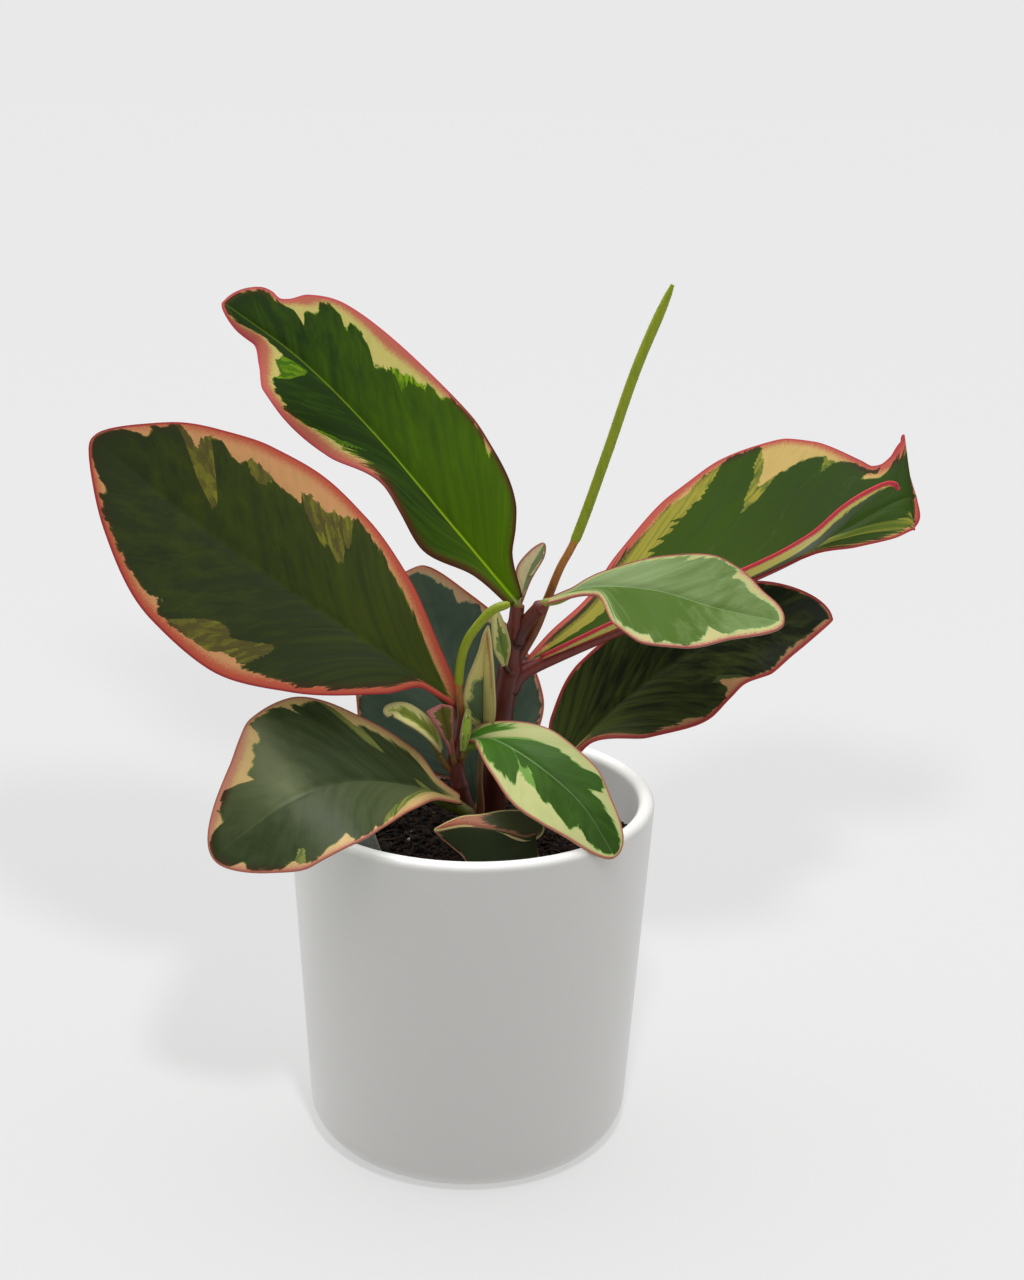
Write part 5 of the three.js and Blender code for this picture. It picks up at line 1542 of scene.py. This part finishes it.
             [0.85, 3], [0.88, 4], [0.905, 4.4], [0.92, 2.8], [0.95, 1.8], [1, 1.5]],
        ),
        "haze_zone": (
            [[0.38, -2], [0.42, 6], [0.52, 6.6], [0.56, -2], [0.78, -2], [0.8, 7], [0.83, -2]],
            [[0.57, -2], [0.6, 10.5], [0.68, 11], [0.72, -2], [0.87, -2], [0.89, 6], [0.92, -2]],
        ),
        "blush_zone": ([[0, 0], [1, 0.3]], [[0, 0], [0.7, 0], [1, 0.4]]),
        "glow": [[0, 1, 1], [0.2, 0.7, 0.6], [0.4, 0.35, 0.25], [0.6, 0.2, 0.15], [1, 0.05, 0.05]],
    },
    "leaf_front_low": {
        "green": "#4a4f34", "light_green": "#5c5f44", "haze": "#7a6248", "light_haze": "#8a6e50",
        "cream": "#c28468", "blush": "#9c5440", "edge": "#cdbf84", "edge_width": 0.4, "jag": 0.9,
        "midrib_share": 0.1,
        "cream_zone": (
            [[0, -1], [0.3, -1], [0.4, 0.6], [0.5, 1.4], [0.6, 1], [0.78, 1.6], [0.86, 4], [1, 6]],
            [[0, -1], [0.55, -1], [0.68, 0.6], [0.8, 1.6], [0.88, 4], [1, 5]],
        ),
        "blush_zone": ([[0, -1], [0.6, 0.4], [1, 2]], [[0, -1], [0.6, -1], [1, 1.4]]),
        "glow": [[0, 0.4, 0.4]],
    },
    "leaf_front_low_1": {
        # Painted shade: the dark olive of this hanging flap paints the shade under the strip above it.
        "green": "#2c3420", "light_green": "#3a4428", "haze": "#3a4428", "light_haze": "#3a4428",
        "cream": "#b08a68", "blush": "#8c5a4a", "edge": "#a5745c", "edge_width": 0.35,
        "cream_zone": ([[0, 0.2], [1, 0.4]], [[0, 0]]),
        "blush_zone": ([[0, 0], [1, 0.3]], [[0, 0], [1, 0.3]]),
        "glow": [[0, 0.4, 0.4]],
    },
    "leaf_centre_folded": {
        "green": "#3f5444", "light_green": "#74855c", "haze": "#7c8c54", "light_haze": "#a8ae68",
        "cream": "#cfc47c", "blush": "#9c5a44", "edge": "#bfae70", "jag": 0.8, "midrib_share": 0.1,
        "cream_zone": ([[0, 0.8], [0.4, 1.2], [0.6, 1.6], [0.7, 3], [0.8, 5], [1, 6]], [[0, 9]]),
        "haze_zone": ([[0, 1.4], [0.5, 2], [0.7, 3.4], [1, 5]], [[0, -2]]),
        "blush_zone": ([[0, -1]], [[0, -1], [0.4, -0.6], [0.6, 1], [1, 1.6]]),
    },
    "leaf_centre_small": {
        "stalk": ("#43201a", "#4a2a20"), "green": "#54704c", "light_green": "#8fa23c", "cream": "#c6bf82",
        "blush": "#c79a80", "edge": "#b5b070", "jag": 0.6, "midrib": "#a3b83c", "midrib_share": 0.8,
        "cream_zone": ([[0, 0.4], [0.5, 1.2], [1, 2]], [[0, 0.2], [0.6, 0.3], [1, 1.5]]),
        "blush_zone": ([[0, -1]], [[0, -1]]),
    },
    "leaf_top_small": {
        "green": "#76875e", "light_green": "#8a9870", "cream": "#d9cfa0", "blush": "#c9786c",
        "edge": "#a87468", "edge_width": 0.35, "jag": 0.8, "midrib_share": 0.1,
        "cream_zone": ([[0, 1], [0.4, 3.2], [0.7, 4.4], [1, 3]], [[0, 0], [1, 0.4]]),
        "blush_zone": ([[0, 0.2], [1, 0.4]], [[0, -1]]),
        "glow": [[0, 0.5, 0.5], [1, 0.2, 0.2]],
    },
    "leaf_curled_small": {
        "green": "#6c7a2c", "light_green": "#8c9840", "haze": "#98a04c", "light_haze": "#a8ac5c",
        "cream": "#c6c080", "blush": "#b07a64", "edge": "#c0b47c", "jag": 0.8,
        "cream_zone": ([[0, 1], [0.4, 1.8], [0.6, 2.2], [1, 1.4]], [[0, 0.8], [0.5, 1.6], [1, 1.2]]),
        "haze_zone": ([[0, 1.8], [0.4, 2.6], [1, 2]], [[0, 1.4], [0.5, 2], [1, 2]]),
        "blush_zone": ([[0, -1]], [[0, -1]]),
    },
    "leaf_pink_small": {
        "green": "#5a5226", "light_green": "#70702f", "cream": "#bd8278", "blush": "#a85a60",
        "edge": "#a8625e", "under": "#8c4a46", "jag": 0.4, "edge_width": 0.35, "midrib_share": 0.1,
        "cream_zone": ([[0, 1], [1, 0.9]], [[0, 0.2], [1, 0]]),
        "blush_zone": ([[0, 0.8], [1, 0.4]], [[0, 0], [1, -0.4]]),
    },
    "shoot_bud": {
        "green": "#8db032", "light_green": "#a9c64c", "cream": "#c6d07c", "blush": "#c9887c",
        "edge": "#a3a45c", "jag": 0.3, "edge_width": 0.3,
        "cream_zone": ([[0, 0.2]], [[0, 0]]),
        "blush_zone": ([[0, -1]], [[0, -1]]),
    },
}


# A blade's last ring lies just short of its tip, and its points crowd towards tip and margins. A groove
# lies over its midrib, and it thins out over a strip along its margin: both are in millimetres.
LAST_T = 0.9999
TIP_CROWDING = 1.4
MARGIN_CROWDING = 0.35
GROOVE_DEPTH = 0.3
SMALL_GROOVE_DEPTH = 0.12
GROOVE_WIDTH = 0.9
THIN_STRIP = 0.8


def blade_frame(blade, t):
    """Midrib point, upward and sideways direction at each t."""
    middle = curve_through(blade["spine"], t)
    ahead = curve_through(blade["spine"], np.minimum(1, t + 0.01))
    behind = curve_through(blade["spine"], np.maximum(0, t - 0.01))
    tangent = unit(ahead - behind)
    face = blade["face"]
    steps = max(1, len(face) - 1)
    facing = np.stack(
        [along([[i / steps, d[axis]] for i, d in enumerate(face)], t) for axis in range(3)], axis=1,
    )
    up = unit(facing - dot(facing, tangent) * tangent)
    return middle, up, np.cross(tangent, up)


def by_side(stations, t, left):
    """Values of stations [t, left value, right value], for points whose side is given by left."""
    lefts = along([[s[0], s[1]] for s in stations], t)
    rights = along([[s[0], s[2]] for s in stations], t)
    return np.where(left, lefts[:, None], rights[:, None])


def blade_grid(blade, steps, across, settings):
    """Points on the middle of the blade, its normals, and where each point lies on it."""
    t = LAST_T * (1 - (1 - np.linspace(0, 1, steps + 1)) ** TIP_CROWDING)
    x = np.linspace(-1, 1, across)
    v = x * (1 + MARGIN_CROWDING - MARGIN_CROWDING * x**2)
    middle, up, side = blade_frame(blade, t)
    sign = np.where(v < 0, -1.0, 1.0)
    q = np.abs(v)
    left = np.broadcast_to(v < 0, (len(t), across))
    rounding = np.sqrt(1 - t ** blade.get("blunt", 14))
    width = np.where(left, along(blade["left"], t)[:, None], along(blade["right"], t)[:, None])
    width = width * rounding[:, None]
    fold = np.radians(by_side(blade.get("fold", [[0, 0, 0]]), t, left))
    curl = np.radians(by_side(blade.get("curl", [[0, 0, 0]]), t, left))
    curled = np.abs(curl) > 1e-4
    safe = np.where(curled, curl, 1.0)
    bent_out = width / safe * (np.sin(fold + curl * q) - np.sin(fold))
    bent_up = width / safe * (np.cos(fold) - np.cos(fold + curl * q))
    out = np.where(curled, bent_out, width * q * np.cos(fold))
    lift = np.where(curled, bent_up, width * q * np.sin(fold))
    for wave_side, height, cycles, phase in blade.get("wave", []):
        swing = height * np.sin(2 * math.pi * (cycles * t + phase)) * np.minimum(1, 4 * t)
        lift = lift + np.where(sign * wave_side > 0, q**2 * swing[:, None], 0)

    # A side vein leaves the midrib at a slant, so all its points share the place where it ends
    lean = blade.get("lean", 0.36)
    vein = np.clip(t[:, None] + lean * (1 - q) * (1 - 0.75 * t[:, None]), 0, 1)
    plump = np.sin(math.pi * np.clip(q, 0, 1)) ** 0.8
    veins = BLADE_LOOK["veins"]
    small = 0.4 if blade.get("small") else 1.0
    pillow = settings.pillow / MM * small * np.cos(2 * math.pi * veins * 0.5 * vein)
    lift = lift + pillow * plump * np.minimum(1, 6 * t)[:, None] * np.minimum(1, width / 6)

    points = middle[:, None] + side[:, None] * (sign * out)[..., None] + up[:, None] * lift[..., None]
    slope = np.where(q == 0, 0, fold + curl * q)
    normals = up[:, None] * np.cos(slope)[..., None] - side[:, None] * (sign * np.sin(slope))[..., None]

    # Distances on the flattened blade to its left and its right margin, in millimetres
    lengths = np.concatenate([[0], np.cumsum(np.linalg.norm(np.diff(middle, axis=0), axis=1))])
    flat = np.stack([np.broadcast_to(lengths[:, None], width.shape), sign * q * width], axis=-1)
    ways = []
    for column in (0, -1):
        margin = np.concatenate([flat[:, column], (flat[:-1, column] + flat[1:, column]) / 2])
        gaps = flat[:, :, None] - margin
        ways.append(np.sqrt((gaps**2).sum(axis=-1)).min(axis=-1))
    own = np.where(left, ways[0], ways[1])
    edge = np.minimum(ways[0], ways[1])
    return {
        "t": t, "v": v, "q": q, "left": left, "vein": vein, "edge": edge, "own": own,
        "across": sign * q * width, "length": lengths[-1], "points": points, "normals": normals,
        "side": side, "sign": sign, "slope": slope, "up": up,
    }


def zone_depth(grid, zone):
    """How many millimetres each point lies inside a painted zone."""
    left, right = (np.interp(grid["vein"], *zip(*stations)) for stations in zone)
    return np.where(grid["left"], left, right) - grid["own"]


def blade_paint(grid, paint):
    """Zones, places and glow of a blade's grid points."""
    names = ("cream_zone", "haze_zone", "blush_zone")
    zones = [zone_depth(grid, paint[name]) for name in names]
    glow = by_side(paint["glow"], grid["t"], grid["left"])
    place = np.stack([grid["vein"], grid["across"], grid["edge"]], axis=-1)
    return np.stack(zones, axis=-1), place, glow


def blade_mesh(blade, paint, settings):
    """Vertices, faces, attributes and map of one blade, as closed rings round it."""
    small = blade.get("small", False)
    steps = settings.steps // 2 if small else settings.steps
    across = settings.across // 2 + 1 if small else settings.across
    grid = blade_grid(blade, steps, across, settings)
    zones, place, glow = blade_paint(grid, paint)
    margin = settings.margin / MM
    middle = settings.middle / MM
    v = grid["v"]
    q = grid["q"]
    half = 0.5 * (margin + (middle - margin) * (1 - v**2))
    thin = np.clip(grid["edge"] / THIN_STRIP, 0, 1)
    half = half * np.where(q == 1, 1, 0.6 + 0.4 * np.sqrt(thin))
    deepest = SMALL_GROOVE_DEPTH if small else GROOVE_DEPTH
    groove_depth = deepest * np.clip((0.98 - grid["t"]) * 8, 0, 1)[:, None]
    groove = groove_depth * np.exp(-((grid["across"] / GROOVE_WIDTH) ** 2))
    upper = grid["points"] + grid["normals"] * (half - groove)[..., None]
    lower = grid["points"] - grid["normals"] * half[..., None]
    lip = 0.25 * margin * (1 - 0.3 * small)
    edges = []
    for column in (0, -1):
        slope = grid["slope"][:, column][:, None]
        way = grid["side"] * grid["sign"][column] * np.cos(slope) + grid["up"] * np.sin(slope)
        edges.append(grid["points"][:, column] + way * lip)
    count = 2 * across + 2
    rings = np.concatenate([upper, edges[1][:, None], lower[:, ::-1], edges[0][:, None]], axis=1)

    def ringed(values):
        values = np.asarray(values, float)
        return np.concatenate([values, values[:, -1:], values[:, ::-1], values[:, :1]], axis=1)

    zones = ringed(zones)
    place = ringed(place)
    glow = ringed(glow)
    faces = ring_faces(steps + 1, count)
    index = [0 if j < across or j == count - 1 else 1 for _ in range(steps) for j in range(count)]
    end = steps * count
    for start, turn in ((0, False), (end, True)):
        for j in range(across - 1):
            under = start + 2 * across - j
            quad = (start + j, start + j + 1, under - 1, under)
            faces.append(quad if turn else quad[::-1])
            index.append(0)
        for a, b, c in ((0, 2 * across, 2 * across + 1), (across - 1, across, across + 1)):
            triangle = (start + a, start + b, start + c)
            faces.append(triangle if turn else triangle[::-1])
            index.append(0)
    uv = np.stack([place[..., 0] * grid["length"] / 10, place[..., 2] / 10], axis=-1)
    return {
        "vertices": rings.reshape(-1, 3), "faces": faces, "index": index,
        "zones": zones.reshape(-1, 3), "place": place.reshape(-1, 3), "glow": glow.reshape(-1),
        "uv": uv.reshape(-1, 2),
    }


def blade_object(name, blade, paint, settings):
    """One blade as an object of its own."""
    upper = blade_material(name + "_upper_skin", paint)
    lower = blade_material(name + "_under_skin", paint, under=True)
    parts = blade_mesh(blade, paint, settings)
    made = make_object(name, parts["vertices"], parts["faces"], [upper, lower], parts["index"])
    mesh = made.data
    set_attribute(mesh, "zones", parts["zones"], "FLOAT_VECTOR")
    set_attribute(mesh, "place", parts["place"], "FLOAT_VECTOR")
    set_attribute(mesh, "glow", parts["glow"])
    layer = mesh.uv_layers.new(name="veins")
    corners = np.empty(len(mesh.loops), int)
    mesh.loops.foreach_get("vertex_index", corners)
    layer.data.foreach_set("uv", parts["uv"][corners].ravel())
    point_outwards(mesh)
    return made


def stalk_object(name, blade, colours):
    """Stalk of a leaf, which runs on under the blade as its raised midrib."""
    small = blade.get("small", False)
    thick, thin = blade["stalk_radius"]
    at = np.array([0.1, 0.4] if small else [0.06, 0.22, 0.42, 0.62, 0.82])
    middle, up, _ = blade_frame(blade, at)
    bare = len(blade["stalk"])
    last = bare + len(at) - 1
    share = (bare - 0.5) / last
    girth = [[0, thick], [share, thin], [1, 0.45 if small else 0.5]]
    sunk = 0.35 + 0.85 * along(girth, (bare + np.arange(len(at))) / last)
    under = middle - sunk[:, None] * up
    points = [*blade["stalk"], *under.tolist()]
    low, high = (hex_colour(colour) for colour in colours)
    material = stem_material(name + "_skin", low, high, low, 0.4)
    vertices, faces, t = tube(points, girth, 30 if small else 70, 16)
    made = make_object(name, vertices, faces, [material])
    set_attribute(made.data, "up", np.clip(t / max(share, 0.01), 0, 1))
    point_outwards(made.data)
    return made


class PEPEROMIA_OT_leaves(bpy.types.Operator):
    """Grow the leaves: fleshy variegated blades, each on its own stalk"""

    bl_idname = "peperomia.leaves"
    bl_label = "Leaves"

    def execute(self, context):
        settings = context.scene.peperomia_leaf
        for node, leaf in LEAVES.items():
            parts = []
            for number, blade in enumerate([leaf, *leaf.get("extra", [])]):
                name = f"{node}_{number}" if number else node
                paint = {**BLADE_LOOK, **PAINT[name]}
                parts.append(blade_object(name, blade, paint, settings))
                if "stalk" in blade:
                    parts.append(stalk_object(name + "_stalk", blade, paint["stalk"]))
            whole = joined(node + "_blade", parts)
            stand_in(whole, node)
        return {"FINISHED"}


# Stage

# The camera that the photograph fits, in millimetres and degrees
CAMERA = {
    "target": (11.1, 0.0, 156.2), "distance": 522.5, "down": 17.1, "roll": 1.19, "lens": 50.0, "sensor": 36.0,
}

# Half the floor's width. Its far edge is so far off that it blends into the pale backdrop.
FLOOR_HALF = 30000

# The lamp that draws the shadows on the floor stands close in front, so they spread to both sides.
# It doesn't fade with distance, and share is how much less the floor glows straight under it.
LAMP = {"place": (30.0, -280.0, 414.0), "radius": 22.0, "power": 14.6, "share": 0.0965}

# Soft round lamps that light all but the floor, or only one piece: place, what they aim at, width in
# mm, and watts. The pot in the photograph is lit more evenly from above than its plant would let it be.
SOFT_LAMPS = {
    "front_lamp": {"place": (40.0, -420.0, 820.0), "aim": (0.0, 0.0, 120.0), "size": 420.0, "power": 1.35},
    "top_lamp": {"place": (-60.0, 120.0, 860.0), "aim": (0.0, 0.0, 120.0), "size": 420.0, "power": 2.9},
    "pot_lamp": {"place": (-160.0, 40.0, 700.0), "aim": (0.0, 0.0, 110.0), "size": 300.0, "power": 3.3,
                 "only": "cover_pot"},
}


def add_camera(scene):
    down = math.radians(CAMERA["down"])
    roll = math.radians(CAMERA["roll"])
    forward = Vector((0, math.cos(down), -math.sin(down)))
    right = Vector((1, 0, 0))
    up = right.cross(forward)
    turned_right = right * math.cos(roll) + up * math.sin(roll)
    turned_up = up * math.cos(roll) - right * math.sin(roll)
    data = bpy.data.cameras.new("camera")
    data.lens = CAMERA["lens"]
    data.sensor_width = CAMERA["sensor"]
    data.clip_start = 0.01
    data.clip_end = 100
    camera = add_object("camera", data)
    place = (Vector(CAMERA["target"]) - forward * CAMERA["distance"]) * MM
    axes = Matrix((turned_right, turned_up, -forward)).transposed().to_4x4()
    camera.matrix_world = Matrix.Translation(place) @ axes
    scene.camera = camera


def add_light(name, light, place):
    made = add_object(name, light)
    made.location = Vector(place) * MM
    return made


def light_only(light, thing, state):
    """Limits a light to one object, or keeps it off that object."""
    receivers = bpy.data.collections.new(light.name + "_receivers")
    receivers.objects.link(thing)
    light.light_linking.receiver_collection = receivers
    receivers.collection_objects[0].light_linking.link_state = state


def add_soft_lamps(floor):
    for name, lamp in SOFT_LAMPS.items():
        light = bpy.data.lights.new(name, "AREA")
        light.shape = "DISK"
        light.size = lamp["size"] * MM
        light.energy = lamp["power"]
        made = add_light(name, light, lamp["place"])
        way = Vector(lamp["aim"]) - Vector(lamp["place"])
        made.rotation_mode = "QUATERNION"
        made.rotation_quaternion = way.to_track_quat("-Z", "Y")
        if "only" in lamp:
            light_only(made, bpy.data.objects[lamp["only"]], "INCLUDE")
            made.light_linking.blocker_collection = made.light_linking.receiver_collection
        else:
            light_only(made, floor, "EXCLUDE")


def add_lamp(floor):
    light = bpy.data.lights.new("lamp", "POINT")
    light.shadow_soft_size = LAMP["radius"] * MM
    light.energy = 1.0
    light.use_nodes = True
    tree = light.node_tree
    tree.nodes.clear()
    fading = add_node(tree, "ShaderNodeLightFalloff", inputs={"Strength": LAMP["power"]})
    glow = add_node(tree, "ShaderNodeEmission", inputs={"Strength": fading.outputs["Constant"]})
    add_node(tree, "ShaderNodeOutputLight", inputs={"Surface": glow})
    light_only(add_light("lamp", light, LAMP["place"]), floor, "INCLUDE")


def floor_material(settings):
    """Matt white acrylic sheet of a light table. It glows, a shade less under the lamp than far from
    it, so that lamp and glow together read evenly."""
    material, tree = new_material("matt_white_acrylic_light_table")
    where = add_node(tree, "ShaderNodeTexCoord")
    lamp = Vector(LAMP["place"]) * MM
    way = add_node(
        tree, "ShaderNodeVectorMath", {"operation": "DISTANCE"}, {0: where.outputs["Object"], 1: lamp},
    )
    slant = add_node(tree, "ShaderNodeMath", {"operation": "DIVIDE"}, {0: lamp.z, 1: way.outputs["Value"]})
    light = add_node(
        tree, "ShaderNodeMath", {"operation": "MULTIPLY_ADD"},
        {0: slant, 1: -LAMP["share"], 2: settings.glow},
    )
    shader = add_node(
        tree, "ShaderNodeBsdfPrincipled",
        inputs={"Base Color": settings.floor, "Roughness": 1.0, "Specular IOR Level": 0.0,
                "Emission Color": (1.0, 1.0, 1.0, 1.0), "Emission Strength": light},
    )
    finish_material(tree, shader)
    return material


def set_world(settings):
    """Studio walls: pale behind and beside the object, dark in front, where the camera stands, and
    brightest overhead."""
    world = bpy.data.worlds.new("studio_walls")
    world.use_nodes = True
    tree = world.node_tree
    tree.nodes.clear()
    where = add_node(tree, "ShaderNodeTexCoord")
    axes = add_node(tree, "ShaderNodeSeparateXYZ", inputs={0: where.outputs["Generated"]})
    behind = add_node(
        tree, "ShaderNodeMapRange", SMOOTH, {0: axes.outputs[1], 1: -0.85, 2: 0.2, 3: 0.1, 4: 1.0},
    )
    above = add_node(tree, "ShaderNodeMapRange", SMOOTH, {0: axes.outputs[2], 1: 0.2, 2: 1.0, 3: 0.0, 4: 0.4})
    share = add_node(tree, "ShaderNodeMath", ADD, {0: behind, 1: above})
    back = add_node(tree, "ShaderNodeBackground", inputs={"Color": settings.backdrop, "Strength": share})
    add_node(tree, "ShaderNodeOutputWorld", inputs={"Surface": back})
    bpy.context.scene.world = world


class PEPEROMIA_OT_stage(bpy.types.Operator):
    """Set the plain floor, the soft studio light and the camera"""

    bl_idname = "peperomia.stage"
    bl_label = "Stage"

    def execute(self, context):
        settings = context.scene.peperomia_stage
        scene = context.scene
        scene.view_settings.view_transform = "Standard"
        add_camera(scene)
        half = FLOOR_HALF
        corners = [(-half, -half, 0), (half, -half, 0), (half, half, 0), (-half, half, 0)]
        floor = make_object("floor", corners, [(0, 1, 2, 3)], [floor_material(settings)])

        set_world(settings)
        add_lamp(floor)
        add_soft_lamps(floor)
        return {"FINISHED"}


# Add-on

OPERATORS = (
    PEPEROMIA_OT_pot,
    PEPEROMIA_OT_soil,
    PEPEROMIA_OT_label,
    PEPEROMIA_OT_stems,
    PEPEROMIA_OT_leaves,
    PEPEROMIA_OT_spikes,
    PEPEROMIA_OT_stage,
)

SETTINGS = {
    "peperomia_stage": StageSettings,
    "peperomia_pot": PotSettings,
    "peperomia_soil": SoilSettings,
    "peperomia_stem": StemSettings,
    "peperomia_leaf": LeafSettings,
    "peperomia_spike": SpikeSettings,
}


class PEPEROMIA_PT_panel(bpy.types.Panel):
    """Sizes, colours and pieces of the potted plant"""

    bl_idname = "PEPEROMIA_PT_panel"
    bl_label = "Potted peperomia"
    bl_space_type = "VIEW_3D"
    bl_region_type = "UI"
    bl_category = "Peperomia"

    def draw(self, context):
        for operator in OPERATORS:
            self.layout.operator(operator.bl_idname)
        for name, group in SETTINGS.items():
            box = self.layout.box()
            for key in group.__annotations__:
                box.prop(getattr(context.scene, name), key)


def register():
    for group in SETTINGS.values():
        bpy.utils.register_class(group)
    for operator in OPERATORS:
        bpy.utils.register_class(operator)
    bpy.utils.register_class(PEPEROMIA_PT_panel)
    for name, group in SETTINGS.items():
        setattr(bpy.types.Scene, name, bpy.props.PointerProperty(type=group))


def unregister():
    for name in SETTINGS:
        delattr(bpy.types.Scene, name)
    bpy.utils.unregister_class(PEPEROMIA_PT_panel)
    for operator in reversed(OPERATORS):
        bpy.utils.unregister_class(operator)
    for group in SETTINGS.values():
        bpy.utils.unregister_class(group)


def main():
    register()
    bpy.ops.peperomia.pot()
    bpy.ops.peperomia.soil()
    bpy.ops.peperomia.label()
    bpy.ops.peperomia.stems()
    bpy.ops.peperomia.leaves()
    bpy.ops.peperomia.spikes()
    bpy.ops.peperomia.stage()


if __name__ == "__main__":
    main()
